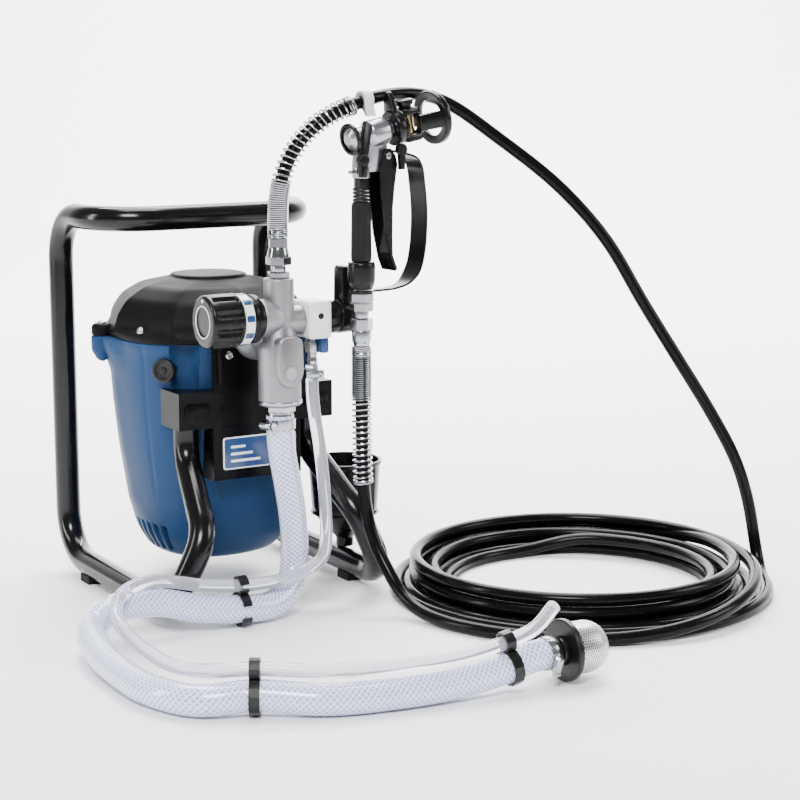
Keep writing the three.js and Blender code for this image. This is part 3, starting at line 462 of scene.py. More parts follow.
def tube_ring(profile, axis="z", centre=(0, 0, 0), round_=0.5, sides=64):
    """A closed profile of (radius, place) turned about the axis, such as a washer or a hoop."""
    line = soften(profile, round_, 3, True)
    line = np.concatenate([line, line[:1]])
    across, up, along = AXES[axis]
    angle = 2 * math.pi * np.arange(sides) / sides
    ring = np.cos(angle)[:, None] * across + np.sin(angle)[:, None] * up
    radius, place = line[:, 0][:, None, None], line[:, 1][:, None, None]
    points = radius * ring[None] + place * along + np.asarray(centre, float)
    part = grid(points[:-1], True, (False, False))
    rows, cols = len(points) - 1, sides
    last = (rows - 1) * cols + np.arange(cols)
    first = np.arange(cols)
    seam = np.stack([last, np.roll(last, -1), np.roll(first, -1), first], -1)
    return {**part, "q": np.concatenate([part["q"], seam])}


def hexagon(flats, low, high, axis="z", centre=(0, 0, 0), turn=0.0):
    """A chamfered hexagon nut of the given width across flats."""
    r = flats / math.sqrt(3)
    return turned(
        [(0, low), (r - 0.9, low), (r, low + 0.9), (r, high - 0.9), (r - 0.9, high), (0, high)], axis,
        centre, 0, 6, turn
    )


def prism(outline, low, high, bevel=0.8, corner=1.5, depth_axis="y"):
    """An outline of (across, up) points, corners rounded, pushed through a depth with rolled edges."""
    line = soften(outline, corner, 3, True)
    area = 0.5 * np.sum(line[:, 0] * np.roll(line[:, 1], -1) - np.roll(line[:, 0], -1) * line[:, 1])
    if area < 0:
        line = line[::-1]
    edge = np.roll(line, -1, 0) - np.roll(line, 1, 0)
    normal = np.stack([edge[:, 1], -edge[:, 0]], -1)
    normal /= np.maximum(np.linalg.norm(normal, axis=1), 1e-9)[:, None]
    rings = []
    for inset, depth in (
        (bevel, low), (0.3 * bevel, low + 0.3 * bevel), (0, low + bevel), (0, high - bevel),
        (0.3 * bevel, high - 0.3 * bevel), (bevel, high)
    ):
        flat = line - normal * inset
        fill = np.full(len(flat), depth)
        if depth_axis == "y":
            rings.append(np.stack([flat[:, 0], fill, flat[:, 1]], -1))
        elif depth_axis == "x":
            rings.append(np.stack([fill, flat[:, 0], flat[:, 1]], -1))
        else:
            rings.append(np.stack([flat[:, 0], flat[:, 1], fill], -1))
    return grid(np.asarray(rings))


def smooth(points, step):
    """A centripetal spline through the points, resampled at an even step."""
    p = np.asarray(points, float)
    p = np.concatenate([[2 * p[0] - p[1]], p, [2 * p[-1] - p[-2]]])
    knots = np.concatenate([[0], np.cumsum(np.linalg.norm(np.diff(p, axis=0), axis=1) ** 0.5)])
    out = []
    for i in range(1, len(p) - 2):
        t0, t1, t2, t3 = knots[i - 1:i + 3]
        t = np.linspace(t1, t2, 24, endpoint=False)[:, None]
        a1 = (t1 - t) / (t1 - t0) * p[i - 1] + (t - t0) / (t1 - t0) * p[i]
        a2 = (t2 - t) / (t2 - t1) * p[i] + (t - t1) / (t2 - t1) * p[i + 1]
        a3 = (t3 - t) / (t3 - t2) * p[i + 1] + (t - t2) / (t3 - t2) * p[i + 2]
        b1 = (t2 - t) / (t2 - t0) * a1 + (t - t0) / (t2 - t0) * a2
        b2 = (t3 - t) / (t3 - t1) * a2 + (t - t1) / (t3 - t1) * a3
        out.append((t2 - t) / (t2 - t1) * b1 + (t - t1) / (t2 - t1) * b2)
    return evenly(np.concatenate([*out, [p[-2]]]), step)


def evenly(line, step):
    """The same line with points an even step apart."""
    travel = np.concatenate([[0], np.cumsum(np.linalg.norm(np.diff(line, axis=0), axis=1))])
    count = max(int(round(travel[-1] / step)), 2)
    at = np.linspace(0, travel[-1], count + 1)
    return np.stack([np.interp(at, travel, line[:, k]) for k in range(3)], -1)


def frames(line):
    """Tangents and two cross directions carried along a line without twist."""
    tangent = np.gradient(line, axis=0)
    tangent /= np.linalg.norm(tangent, axis=1)[:, None]
    first = np.cross(tangent[0], [0.13, 0.21, 0.97] if abs(tangent[0][2]) < 0.9 else [0.97, 0.2, 0.1])
    across = [first / np.linalg.norm(first)]
    for t in tangent[1:]:
        side = across[-1] - np.dot(across[-1], t) * t
        across.append(side / np.linalg.norm(side))
    across = np.asarray(across)
    return tangent, across, np.cross(tangent, across)


def swept(line, radius, sides=20, caps=(True, True)):
    """A round tube of one radius, or a radius for each station, along a line."""
    _, across, up = frames(line)
    angle = 2 * math.pi * np.arange(sides) / sides
    ring = np.cos(angle)[None, :, None] * across[:, None] + np.sin(angle)[None, :, None] * up[:, None]
    radius = np.broadcast_to(radius, len(line))
    travel = np.concatenate([[0], np.cumsum(np.linalg.norm(np.diff(line, axis=0), axis=1))]) / 1000
    return grid(line[:, None] + radius[:, None, None] * ring, True, caps, travel)


def spring(line, radius, wire, turns_per_mm, sides=8, per_turn=16):
    """Wire wound round a line: a helix of one radius whose turns per millimetre may change."""
    travel = np.concatenate([[0], np.cumsum(np.linalg.norm(np.diff(line, axis=0), axis=1))])
    rate = np.broadcast_to(turns_per_mm, len(line)).astype(float)
    phase = np.concatenate([[0], np.cumsum((rate[1:] + rate[:-1]) / 2 * np.diff(travel))])
    count = int(phase[-1] * per_turn)
    at = np.interp(np.linspace(0, phase[-1], count), phase, travel)
    turn = 2 * math.pi * np.linspace(0, phase[-1], count)
    _, across, up = frames(line)
    pick = lambda field: np.stack([np.interp(at, travel, field[:, k]) for k in range(3)], -1)
    helix = pick(line) + radius * (
        np.cos(turn)[:, None] * pick(across) + np.sin(turn)[:, None] * pick(up)
    )
    return swept(helix, wire, sides)


def bent(corners):
    """Straight runs joined by arcs; corners are (point, bend radius)."""
    points = [np.asarray(c[0], float) for c in corners]
    out = [points[0]]
    for i in range(1, len(points) - 1):
        back = points[i - 1] - points[i]
        ahead = points[i + 1] - points[i]
        back /= np.linalg.norm(back)
        ahead /= np.linalg.norm(ahead)
        half = math.acos(np.clip(back @ ahead, -1, 1)) / 2
        middle = back + ahead
        middle = points[i] + middle / np.linalg.norm(middle) * corners[i][1] / math.sin(half)
        start = points[i] + back * corners[i][1] / math.tan(half) - middle
        side = -back * corners[i][1]
        angle = np.linspace(0, math.pi - 2 * half, 14)[:, None]
        out.extend(middle + np.cos(angle) * start + np.sin(angle) * side)
    out.append(points[-1])
    return np.asarray(out)


def screw(centre, direction, radius=4.0, height=2.2):
    """A domed screw head: one turned profile, with a shallow round recess in the middle of its face."""
    dome = turned(
        [
            (0, -1.0), (radius, -1.0), (radius, height * 0.4), (radius * 0.75, height * 0.85),
            (radius * 0.45, height), (radius * 0.4, height * 0.35), (0, height * 0.3)
        ],
        "z", (0, 0, 0), 0.4, 28
    )
    return aimed(dome, centre, direction)


def aimed(part, centre, direction):
    """Turns a geometry whose axis is +Z to face a direction, at a centre."""
    z = np.asarray(direction, float) / np.linalg.norm(direction)
    x = np.cross([0, 0, 1.0], z) if abs(z[2]) < 0.95 else np.cross([0, 1.0, 0], z)
    x /= np.linalg.norm(x)
    turn = np.stack([x, np.cross(z, x), z], -1)
    return moved(part, lambda v: v @ turn.T + np.asarray(centre, float))


# ------------------------------------------------------------------ stand
def stand_corners(side):
    """Corners and bend radii of one half of the stand, from the crossbar down, back, up and over."""
    w = side * 117.0
    return [
        ((side * 66.5, -62, 205), 0), ((side * 66.5, -62, 147), 38), ((side * 84, -139, 86), 40),
        ((w, -135, 17.5), 42), ((w, 124, 17.5), 50), ((w, 124, 375), 47), ((w, 8, 375), 57),
        ((0, 8, 375), 0)
    ]


def stand():
    """The bent tube in one sweep, and a screw beside each foot."""
    left = evenly(bent(stand_corners(-1)), 5.0)
    right = evenly(bent(stand_corners(1)), 5.0)
    line = np.concatenate([left, right[::-1][1:]])
    piece(
        "stand_tube", swept(line, 12.5, 32), "enamel", "machine", ["frame_tube_left", "frame_tube_right"],
    )
    for side in (-1, 1):
        for y in (-64, 60):
            name = f"foot_screw_{'left' if side < 0 else 'right'}_{'front' if y < 0 else 'rear'}"
            piece(name, screw((side * 127.6, y, 13.5), (side, 0, -0.3), 3.2, 1.6), "zinc")


LEG = evenly(bent(stand_corners(1)), 2.0)[:60]


def squircle(angle, power=2.3):
    """Radius factor of a superellipse: 1 on the axes, more towards the corners."""
    return (np.abs(np.cos(angle)) ** power + np.abs(np.sin(angle)) ** power) ** (-1 / power)


# ------------------------------------------------------------------ motor case
def case_surface(profile, cols, shape):
    """Rows of (radius, z), each pushed to a rounded square; shape() then gives the final radius."""
    line = soften(profile, 6, 6)
    travel = np.concatenate([[0], np.cumsum(np.linalg.norm(np.diff(line, axis=0), axis=1))])
    rows = np.linspace(0, travel[-1], 150)
    radius = np.interp(rows, travel, line[:, 0])
    z = np.interp(rows, travel, line[:, 1])
    angle = 2 * math.pi * np.arange(cols) / cols
    a, zz = np.meshgrid(angle, z)
    rr = np.maximum(radius, 0.05)[:, None] * squircle(a)
    rr = shape(a, zz, rr)
    return grid(
        np.stack([rr * np.cos(a), CASE_Y + rr * np.sin(a), zz], -1), True, (True, True), rows / 1000
    )


def motor_case():
    """Bucket: radius by height, less leg channels, low vents and creases, plus a swell below each lug."""
    def shape(angle, z, radius):
        out = radius
        for side in (-1, 1):
            order = np.argsort(LEG[:, 2])
            lx = side * np.interp(z, LEG[order, 2], LEG[order, 0])
            ly = np.interp(z, LEG[order, 2], LEG[order, 1]) - CASE_Y
            across = lx * np.sin(angle) - ly * np.cos(angle)
            forward = lx * np.cos(angle) + ly * np.sin(angle)
            near = forward - np.sqrt(np.maximum(14.6**2 - across**2, 0))
            hit = (np.abs(across) < 14.6) & (forward > 0) & (z > 88)
            out = np.where(hit & (near < out), near, out)
        degrees = np.degrees(angle)
        for centre in [162 + 9 * i for i in range(6)] + [(18 - 9 * i) % 360 for i in range(6)]:
            off = np.abs((degrees - centre + 180) % 360 - 180)
            half = np.degrees(2.75 / 80)
            slot = np.clip(
                (half * 1.3 - off) / (half * 0.5), 0, 1
            ) * np.clip((z - 41) / 2, 0, 1) * np.clip((69 - z) / 2, 0, 1)
            out = out - 6.0 * slot
        for centre in (205, 250, 290, 335, 25, 155):
            off = (degrees - centre + 180) % 360 - 180
            out = out - 0.7 * np.exp(-((off / 1.6) ** 2)) * np.clip((z - 90) / 30, 0, 1)
        for centre in (164, 16):
            off = (degrees - centre + 180) % 360 - 180
            out = out + 9.5 * np.exp(-((off / 19) ** 4)) * np.clip((z - 214) / 30, 0, 1) ** 1.6
        lip = np.exp(-(((z - 246) / 1.2) ** 2))
        return out - 0.8 * lip
    profile = [
        (0, 30), (43, 30.5), (63, 37), (74.5, 56), (83, 86), (91, 140), (96, 190), (99, 240), (101, 250),
        (101, 257), (97, 257), (0, 256.6)
    ]
    parts = [case_surface(profile, 600, shape)]
    for angle in LUG_ANGLES:
        x, y = 109 * math.cos(math.radians(angle)), CASE_Y + 109 * math.sin(math.radians(angle))
        parts.append(
            turned([(0, 230), (5, 232), (11, 242), (11, 257), (0, 257)], "z", (x, y, 0), 2.5, 40)
        )
    piece("case_bucket", merge(*parts), "blue", "machine", ["motor_housing"])


def dome():
    """Cover: low dome with a flat crown. Above its rim the rounded square eases to an octagon."""
    eighth = math.pi / 4

    def shape(angle, z, radius):
        from_middle = (angle - math.radians(247.5) + eighth / 2) % eighth - eighth / 2
        flats = math.cos(eighth / 2) / np.cos(from_middle)
        faceted = np.clip((z - 263) / 6, 0, 1) * np.clip((314 - z) / 5, 0, 1) * 0.85
        return radius * (1 + faceted * (flats - 1))
    profile = [
        (100, 257.6), (103.4, 258.6), (103.4, 267), (100.4, 279.5), (90, 294.6), (70, 306.6), (44, 312.6),
        (38, 313.8), (36.5, 316.6), (30, 317.4), (0, 318)
    ]
    parts = [case_surface(profile, 300, shape)]
    for angle in LUG_ANGLES:
        x, y = 109 * math.cos(math.radians(angle)), CASE_Y + 109 * math.sin(math.radians(angle))
        parts.append(
            turned([(0, 257.6), (10.5, 257.6), (10.5, 266), (8, 269), (0, 269)], "z", (x, y, 0), 1.5, 40)
        )
        piece(f"cover_screw_{angle}", screw((x, y, 269), (0, 0, 1), 4.6, 2.4), "zinc")
    piece("case_cover", merge(*parts), "case_black", "machine", ["top_cover"])
    # A dark matte ring sunk in the thin gap between bucket and cover: painted shade standing in for the gap.
    line = case_surface(rect(96, 256.8, 100.2, 257.8), 200, lambda a, z, r: r)
    piece("case_seam", line, "dark")
    x, y = 101 * math.cos(math.radians(203)), CASE_Y + 101 * math.sin(math.radians(203))
    piece("cover_side_screw", screw((x, y, 268), (-1, -0.45, 0.1), 4.2, 2), "zinc")


def brush_caps():
    """Screw-in caps over the brushes, one at each side of the case, facing straight out from its axis."""
    for angle, node in ((220, "brush_cap_left"), (40, "brush_cap_right")):
        a = math.radians(angle)
        cap = turned(
            [
                (0, -12), (8.5, -12), (8.5, 0), (12, 0), (12, 4.2), (11, 5), (8.5, 5), (7.5, 3.2),
                (3.4, 3), (3, 4.4), (0, 4.4)
            ],
            "z", (0, 0, 0), 0.6, 48
        )
        centre = (105.2 * math.cos(a), CASE_Y + 105.2 * math.sin(a), 232)
        piece(
            node + "_cap", aimed(cap, centre, (math.cos(a), math.sin(a), 0)), "plastic", "machine",
            [node]
        )


# ------------------------------------------------------------------ bracket and label
def bracket_details():
    """Pressed ribs, screws and a plain label on the bracket and the panel below it."""
    parts = []
    for x0, x1 in ((-78, -52), (52, 78)):
        parts.append(prism(rect(x0, 190, x1, 203), -88.2, -85.5, 0.8, 4))
    for side in (-1, 1):
        path = [
            (side * 40, -87, 220), (side * 40, -87, 262), (side * 33, -87, 278), (side * 33, -87, 292)
        ]
        parts.append(swept(smooth(path, 3), 2.0, 12))
    piece("bracket_ribs", merge(*parts), "sheet")
    piece("bracket_screw_left", screw((-30, -86.4, 248), (0, -1, 0), 4.2, 2.0), "zinc")
    piece("bracket_screw_right", screw((37, -86.4, 232), (0, -1, 0), 4.2, 2.0), "zinc")
    piece("label_border", prism(rect(-38, 135, 42, 167), -86.9, -86.1, 0.2, 3), "label_white")
    piece("label_field", prism(rect(-36.6, 136.4, 40.6, 165.6), -87.2, -86.6, 0.15, 2.4), "label_blue")
    bars = [prism(rect(-30, 142 + 7 * i, 2 - 8 * i, 144.5 + 7 * i), -87.5, -87.0, 0.12, 1)
            for i in range(3)]
    piece("label_bars", merge(*bars), "label_white")


# ------------------------------------------------------------------ pump
def pump_body():
    """Casting: turned column, nose to the case and two side bosses, with a rounded ear in front."""
    body = turned(
        [
            (0, 204), (19.3, 204), (20.5, 205.5), (20.5, 260), (17.5, 270), (14.5, 280), (14.5, 324.8),
            (13.4, 326), (0, 326)
        ],
        "z", PUMP, 2.0, 72
    )
    nose = turned(rect(0, -134, 19, -73), "y", (0, 0, 270), 1, 64)
    flare = turned(
        [(0, -109), (15, -109), (19.5, -101), (26, -92), (27, -87), (0, -87)], "y", (0, 0, 268), 5, 64
    )
    left = turned(
        [(0, -22), (17, -22), (18, -20.5), (17.5, -8), (15, 0), (0, 0)], "x", (0, -134, 289), 1.5, 56
    )
    right = turned(rect(0, 0, 14, 22.6), "x", (0, -134, 285), 1, 56)
    ear = prism(
        [(-13, 272), (-14, 236), (-9, 226), (0, 222), (9, 226), (14, 236), (13, 272)], -159, -134, 2.2, 8
    )
    lip = tube_ring(rect(5.9, -159.8, 8.6, -158.5), "y", (0, 0, 237), 0.3, 40)
    piece(
        "pump_casting", merge(body, nose, flare, left, right, ear, lip), "cast", "machine",
        ["pump_manifold"], 50
    )
    piece("ear_hole", turned(rect(0, -159.3, 5.9, -158.6), "y", (0, 0, 237), 0, 32), "steel")
    rings = tube_ring(rect(20.3, 206, 21.6, 209), "z", PUMP, 0.6)
    piece("pump_ring", rings, "zinc")


def worm_clamp(name, axis, centre, radius, low, high, screw_angle):
    """Band with a screw block on its side."""
    band = tube_ring(rect(radius, low, radius + 0.9, high), axis, centre, 0.3, 80)
    across, up, along = AXES[axis]
    a = math.radians(screw_angle)
    out = math.cos(a) * across + math.sin(a) * up
    side = -math.sin(a) * across + math.cos(a) * up
    base = np.asarray(centre, float) + along * (low + high) / 2 + out * (radius + 4.2)
    barrel = aimed(
        turned([(0, -7.5), (4.2, -7.5), (4.2, 5), (3.4, 6), (0, 6)], "z", (0, 0, 0), 0.6, 24), base, side
    )
    head = aimed(hexagon(7.5, 6, 10), base, side)
    piece(name, merge(band, barrel, head), "zinc")
    return bpy.data.objects[name]


def pump_pieces():
    """Unions and nuts above and below the casting, and the knob's collar with its scale band."""
    fitting = turned(
        [
            (0, 184), (12.6, 184), (13.4, 187), (12.6, 190), (13.4, 193), (12.8, 196), (12.8, 198),
            (0, 198)
        ],
        "z", PUMP
    )
    piece(
        "inlet_union", merge(fitting, hexagon(26.5, 197.5, 203.7, "z", PUMP, 0.3)), "zinc", "machine",
        ["inlet_fitting"]
    )
    top = turned(rect(0, 332, 7.2, 338), "z", PUMP)
    piece(
        "outlet_union", merge(hexagon(19.5, 326.3, 332, "z", PUMP, 0.2), top), "zinc", "machine",
        ["outlet_nipple"]
    )
    taper = turned([(0, 346), (11, 346), (9, 355.5), (0, 355.5)], "z", PUMP)
    nut = merge(
        hexagon(21.5, 338.3, 346.6, "z", PUMP, 0.45), taper, hexagon(17, 355, 364, "z", PUMP, 0.1)
    )
    piece("swivel_nut", nut, "zinc", "machine", ["hose_nut"])
    centre = (0, -134, 289)
    collar = turned(
        [
            (0, -36.6), (21.5, -36.3), (21.5, -32), (23, -31.5), (23, -26), (19, -25.6), (19, -22.2),
            (0, -22.2)
        ],
        "x", centre, 0.8, 96
    )
    piece("knob_collar", collar, "gloss", "machine", ["regulator_collar"])
    band = tube_ring(rect(21, -46.2, 24.2, -36.8), "x", centre, 0.5, 96)
    piece("scale_band", band, "label_white")
    marks = []
    for i in range(9):
        a = math.radians(40 * i + 12)
        at = (-41.5, -134 + 24.3 * math.cos(a), 289 + 24.3 * math.sin(a))
        pad = prism(rect(-4, -3, 4, 3), -0.35, 0.25, 0.1, 1.2, "z")
        marks.append(aimed(pad, at, (0, math.cos(a), math.sin(a))))
    piece("scale_marks", merge(*marks), "label_blue")


def knob():
    """Knob: turned profile whose side is scalloped by nine broad flutes between the two rims."""
    profile = soften(
        [
            (0, -78.6), (13, -78.6), (15, -80), (22.5, -80), (25.0, -78.2), (25.5, -72), (25.5, -48),
            (24.5, -47), (0, -47)
        ],
        1.0, 4
    )
    travel = np.concatenate([[0], np.cumsum(np.linalg.norm(np.diff(profile, axis=0), axis=1))])
    rows = np.linspace(0, travel[-1], 160)
    radius = np.maximum(np.interp(rows, travel, profile[:, 0]), 0.03)
    x = np.interp(rows, travel, profile[:, 1])
    angle = 2 * math.pi * np.arange(288) / 288
    a, xx = np.meshgrid(angle, x)
    wave = np.clip(np.cos(9 * a) - 0.1, 0, 1) ** 0.8
    depth = 3.2 * wave * np.clip((xx + 76) / 2.5, 0, 1) * np.clip((-49 - xx) / 1.5, 0, 1)
    rr = radius[:, None] - np.where(radius[:, None] > 23, depth, 0)
    points = np.stack([xx, -134 + rr * np.cos(a), 289 + rr * np.sin(a)], -1)
    piece(
        "knob_grip", grid(points, True, (True, True), rows / 1000), "gloss", "knob", ["pressure_knob"],
    )
    ring = tube_ring(rect(14.6, -80.25, 15.6, -79.6), "x", (0, -134, 289), 0.2, 64)
    piece("knob_face_ring", ring, "label_white", "knob")
    dot = turned(rect(0, -80.3, 1.8, -79.6), "x", (0, -134, 309), 0, 24)
    piece("knob_pointer", dot, "label_white", "knob")


def valve():
    """Prime valve: white block, black collar, lever with ribs on its face, and the return union."""
    block = prism(rect(23.3, 267, 48, 303), -151, -117, 1.4, 4)
    piece("valve_body", block, "white", "machine", ["valve_block"])
    panel = prism(rect(27, 280, 45, 298), -151.5, -150.8, 0.2, 3)
    piece("valve_plate", panel, "label_white")
    piece("valve_dot", turned(rect(0, -151.9, 3, -151.2), "y", (36, 0, 289), 0, 40), "plastic")
    piece("blue_tab_piece", prism(rect(39, 252, 47.5, 268), -146, -128, 1, 2.5), "tab_blue")
    centre = (0, -134, 285)
    collar = turned(
        [(0, 48.3), (15, 48.3), (16, 49.3), (16, 60), (15, 61), (0, 61)], "x", centre, 0.6, 80
    )
    piece("valve_ring", collar, "gloss", "machine", ["valve_collar"])
    hub = turned(
        [(0, 61.3), (16.2, 61.3), (16.2, 77), (14.5, 79), (5, 79), (4.4, 78), (0, 78)], "x", centre, 0.8,
        80
    )
    paddle = prism(
        [(64, 285), (78, 285), (77, 331), (74.5, 334), (66.5, 334), (64.5, 331)], -143, -125, 1.5, 2
    )
    ribs = [prism(rect(66.5, 300 + 4 * i, 75.5, 301.8 + 4 * i), -143.8, -142.6, 0.3, 0.5)
            for i in range(7)]
    piece("lever_handle", merge(hub, paddle, *ribs), "gloss", "lever", ["prime_lever"])
    at = (35, -134, 0)
    barb = turned(
        [
            (0, 240), (5.2, 240), (5.8, 244), (5, 248), (5.8, 252), (7.6, 252.5), (7.6, 262),
            (6.2, 262.5), (6.2, 267), (0, 267)
        ],
        "z", at, 0.4, 48
    )
    piece("return_union", barb, "zinc", "machine", ["return_barb"])


# ------------------------------------------------------------------ gun
def gun(v):
    """Gun frame (x to the nozzle, z up the handle) to the stand's frame."""
    c, s = math.cos(GUN_TURN), math.sin(GUN_TURN)
    return np.stack([c * v[:, 0] - s * v[:, 1], s * v[:, 0] + c * v[:, 1], v[:, 2]], -1) + GUN


def barrel(v):
    """Barrel frame (x along the barrel) to the gun frame."""
    c, s = math.cos(BARREL_TILT), math.sin(BARREL_TILT)
    return np.stack([c * v[:, 0] - s * v[:, 2], v[:, 1], s * v[:, 0] + c * v[:, 2] + BARREL_Z], -1)


def on_gun(*parts):
    """Geometries in the gun frame, placed."""
    return moved(merge(*parts), gun)


def on_barrel(*parts):
    """Geometries in the barrel frame, placed."""
    return moved(moved(merge(*parts), barrel), gun)


def gun_pieces():
    """The gun from its swivel up: fittings, grip, casting, guard, tip and hook."""
    head = turned(
        [
            (0, -9), (9.5, -9), (9.5, 4), (13.5, 8), (13.5, 26), (11, 30), (8.6, 30.5), (8.6, 34.9),
            (0, 34.9)
        ],
        "x", (0, 0, 0), 1.2
    )
    web = prism([(-7, 425), (20, 425), (27, 446), (24, 466), (-4, 460)], -7, 7, 1.5, 3)
    neck = turned(rect(0, 419.4, 8.5, 430), "z", (0, 0, 0), 0.8)
    shell = merge(moved(head, barrel), web, neck)
    piece("gun_casting", moved(shell, gun), "silver", "machine", ["gun_body"])
    spur = prism([(-14, 424), (-6, 422.5), (-6, 428), (-13, 427)], -2.5, 2.5, 0.5, 1)
    piece("needle_spur", on_gun(spur), "silver")
    bolt = turned(
        [(0, -12.7), (2.6, -12.7), (3.2, -12.2), (3.2, -11.3), (0, -11.3)], "y", (24, 0, 440), 0.3, 24
    )
    piece("trigger_bolt", on_gun(bolt), "zinc")
    sleeve = turned(
        [(0, 340.3), (9.4, 340.3), (10, 345), (9.6, 370), (9.3, 394), (8.2, 397), (0, 397)], "z",
        (0, 0, 0), 1.2, 96
    )
    piece("grip_sleeve", on_gun(sleeve), "grip", "machine", ["gun_grip"])
    stack = []
    for i in range(4):
        stack.append(
            turned(
                [
                    (0, 397.5 + 3.4 * i), (8.0, 397.5 + 3.4 * i), (8.4, 398.5 + 3.4 * i),
                    (7.6, 400.2 + 3.4 * i), (0, 400.4 + 3.4 * i)
                ],
                "z", (0, 0, 0), 0.4, 40
            )
        )
    stack.append(turned(rect(0, 410, 7.2, 419), "z", (0, 0, 0), 0.6, 8))
    piece("grip_bellows", on_gun(*stack), "plastic")
    collar = turned(
        [(0, 313.6), (10.5, 313.6), (13.2, 321), (13.4, 336), (12.6, 340), (0, 340)], "z", (0, 0, 0), 1.5,
        72
    )
    piece("grip_base", on_gun(collar), "gloss", "machine", ["grip_collar"])
    nut = turned(
        [(0, 35.3), (16, 35.3), (17, 36.5), (17, 42.5), (16, 43.7), (0, 43.7)], "x", (0, 0, 0), 0.5, 72
    )
    t = 2 * math.pi * np.arange(48) / 48
    oval = np.stack([9.5 * np.cos(t), 9 + 26 * np.sin(t)], -1)
    flange = prism(oval, 37.0, 41.5, 1.2, 0.5, "x")
    piece("guard_ring_nut", on_barrel(nut, flange), "gloss", "machine", ["guard_nut"])
    base = turned([(0, 44.3), (16.0, 44.3), (16.5, 46), (16.5, 47.5), (0, 47.5)], "x", (0, 0, 0), 0.5, 64)
    cheeks = [prism(rect(46, s * 9, 64, s * 16), -12, 12, 1.4, 3) for s in (-1, 1)]
    front = tube_ring(rect(7.5, 61.5, 15.5, 64.2), "x", (0, 0, 0), 0.8, 56)
    arms = [
        prism(
            [(60, s * 9), (66, s * 9.5), (87, s * 20), (87, s * 25), (66, s * 16.8), (60, s * 16.3)], -8,
            8, 1.6, 2, "z"
        ) for s in (-1, 1)
    ]
    hoop = tube_ring(
        [(17.2, 84.8), (25.6, 83.6), (26.4, 86), (26.4, 90.4), (24, 91), (18.6, 90.2)], "x", (0, 0, 0),
        1.2, 96
    )
    piece(
        "tip_guard_shell", on_barrel(base, front, hoop, *cheeks, *arms), "gloss", "machine",
        ["tip_guard"]
    )
    stem = turned(rect(0, -15.5, 6.4, 13.5), "z", (56, 0, 0), 0.4, 48)
    key = turned(
        [(0, 13.6), (6.4, 13.6), (6.4, 18.7), (8.5, 18.7), (8.5, 23.4), (7.6, 24), (0, 24)], "z",
        (56, 0, 0), 0.4, 48
    )
    piece("tip_stem", on_barrel(stem), "brass", "tip", ["spray_tip"])
    piece("tip_key", on_barrel(key), "gloss", "tip")
    seat = turned(rect(0, 47.4, 8.8, 51), "x", (0, 0, 0), 0.4, 8)
    piece("tip_seat", on_barrel(seat), "brass")
    cap = turned([(0, -9.3), (12.6, -9.3), (13.6, -10.6), (5, -16), (0, -16)], "x", (0, 0, 0), 0.8, 72)
    rim = tube_ring([(13.0, -10.3), (15.2, -10.8), (15.2, -14.3), (12.2, -14.3)], "x", (0, 0, 0), 0.8, 72)
    piece("needle_cap_disc", on_barrel(cap), "silver", "machine", ["needle_cap"])
    piece("needle_cap_rim", on_barrel(rim), "gloss")
    plates = [
        prism([(-12, 424), (-4, 423), (1, 446), (5, 470), (-4, 474), (-9, 452)], -12.5, -8.2, 1.0, 2),
        turned([(0, -19), (5.2, -19), (6, -17.5), (6, -12.5), (0, -12.5)], "y", (-9, 0, 437), 0.6, 32),
        prism([(-13, 421), (-5, 421), (-4, 437), (-13, 438)], -18, -12.6, 0.9, 1.5)
    ]
    piece("head_plates", on_gun(*plates), "gloss")
    around = np.linspace(math.radians(205), math.radians(5), 26)
    outer = np.stack([13.3 + 9.4 * np.cos(around), 491.8 + 9.4 * np.sin(around)], -1)
    inner = np.stack([13.3 + 6.9 * np.cos(around), 491.8 + 6.9 * np.sin(around)], -1)[::-1]
    hook = prism([(1.0, 477), *outer, *inner, (5.0, 477)], 8.5, 19, 0.6, 0.4, "x")
    piece("hose_hook", on_gun(hook), "grey", "machine", ["gun_hook"])
    fitting = merge(
        turned(rect(0, 286, 7, 292.5), "z", (0, 0, 0), 0.6),
        hexagon(19.5, 292.6, 301, "z", (0, 0, 0), 0.3), hexagon(21, 301.6, 310.4, "z", (0, 0, 0), 0.1)
    )
    piece("gun_inlet", on_gun(fitting), "zinc", "machine", ["gun_fitting"])
    swivel = merge(
        turned([(0, 259), (8, 259), (8, 262), (9.4, 264), (9.4, 274.5), (0, 274.5)], "z", (0, 0, 0), 0.8),
        hexagon(19, 274, 285.7, "z", (0, 0, 0), 0.5)
    )
    piece("gun_swivel_body", on_gun(swivel), "zinc", "machine", ["gun_swivel"])


def guard_strap():
    """Guard: a thin strip, narrower at both ends, along a smooth line in the gun's middle plane."""
    route = smooth(
        [
            (34.5, 0, 444), (46, 0, 442), (57, 0, 438), (63.5, 0, 430), (67, 0, 412), (69.3, 0, 392),
            (69.5, 0, 370), (67.5, 0, 348), (62, 0, 329), (52, 0, 317.5), (38, 0, 312.6), (24, 0, 311.9),
            (9, 0, 311.8)
        ],
        2.0
    )
    tangent = np.gradient(route, axis=0)
    tangent /= np.linalg.norm(tangent, axis=1)[:, None]
    out = np.stack([-tangent[:, 2], np.zeros(len(route)), tangent[:, 0]], -1)
    travel = np.linspace(0, 1, len(route))
    half = np.interp(travel, [0, 0.07, 0.13, 0.72, 0.84, 1.0], [6.4, 6.4, 12.3, 12.3, 6.3, 6.3])
    rim = [
        (-1, 0.5), (-0.97, 1.0), (0.97, 1.0), (1, 0.5), (1, -0.5), (0.97, -1.0), (-0.97, -1.0), (-1, -0.5)
    ]
    rings = np.stack(
        [route + np.stack([0 * half, half * a, 0 * half], -1) + out * 1.1 * b for a, b in rim], 1
    )
    washer = turned(rect(0, 310.8, 12, 312.8), "z", (0, 0, 0), 0.4, 48)
    piece("guard_band", on_gun(grid(rings), washer), "enamel", "machine", ["trigger_guard"])


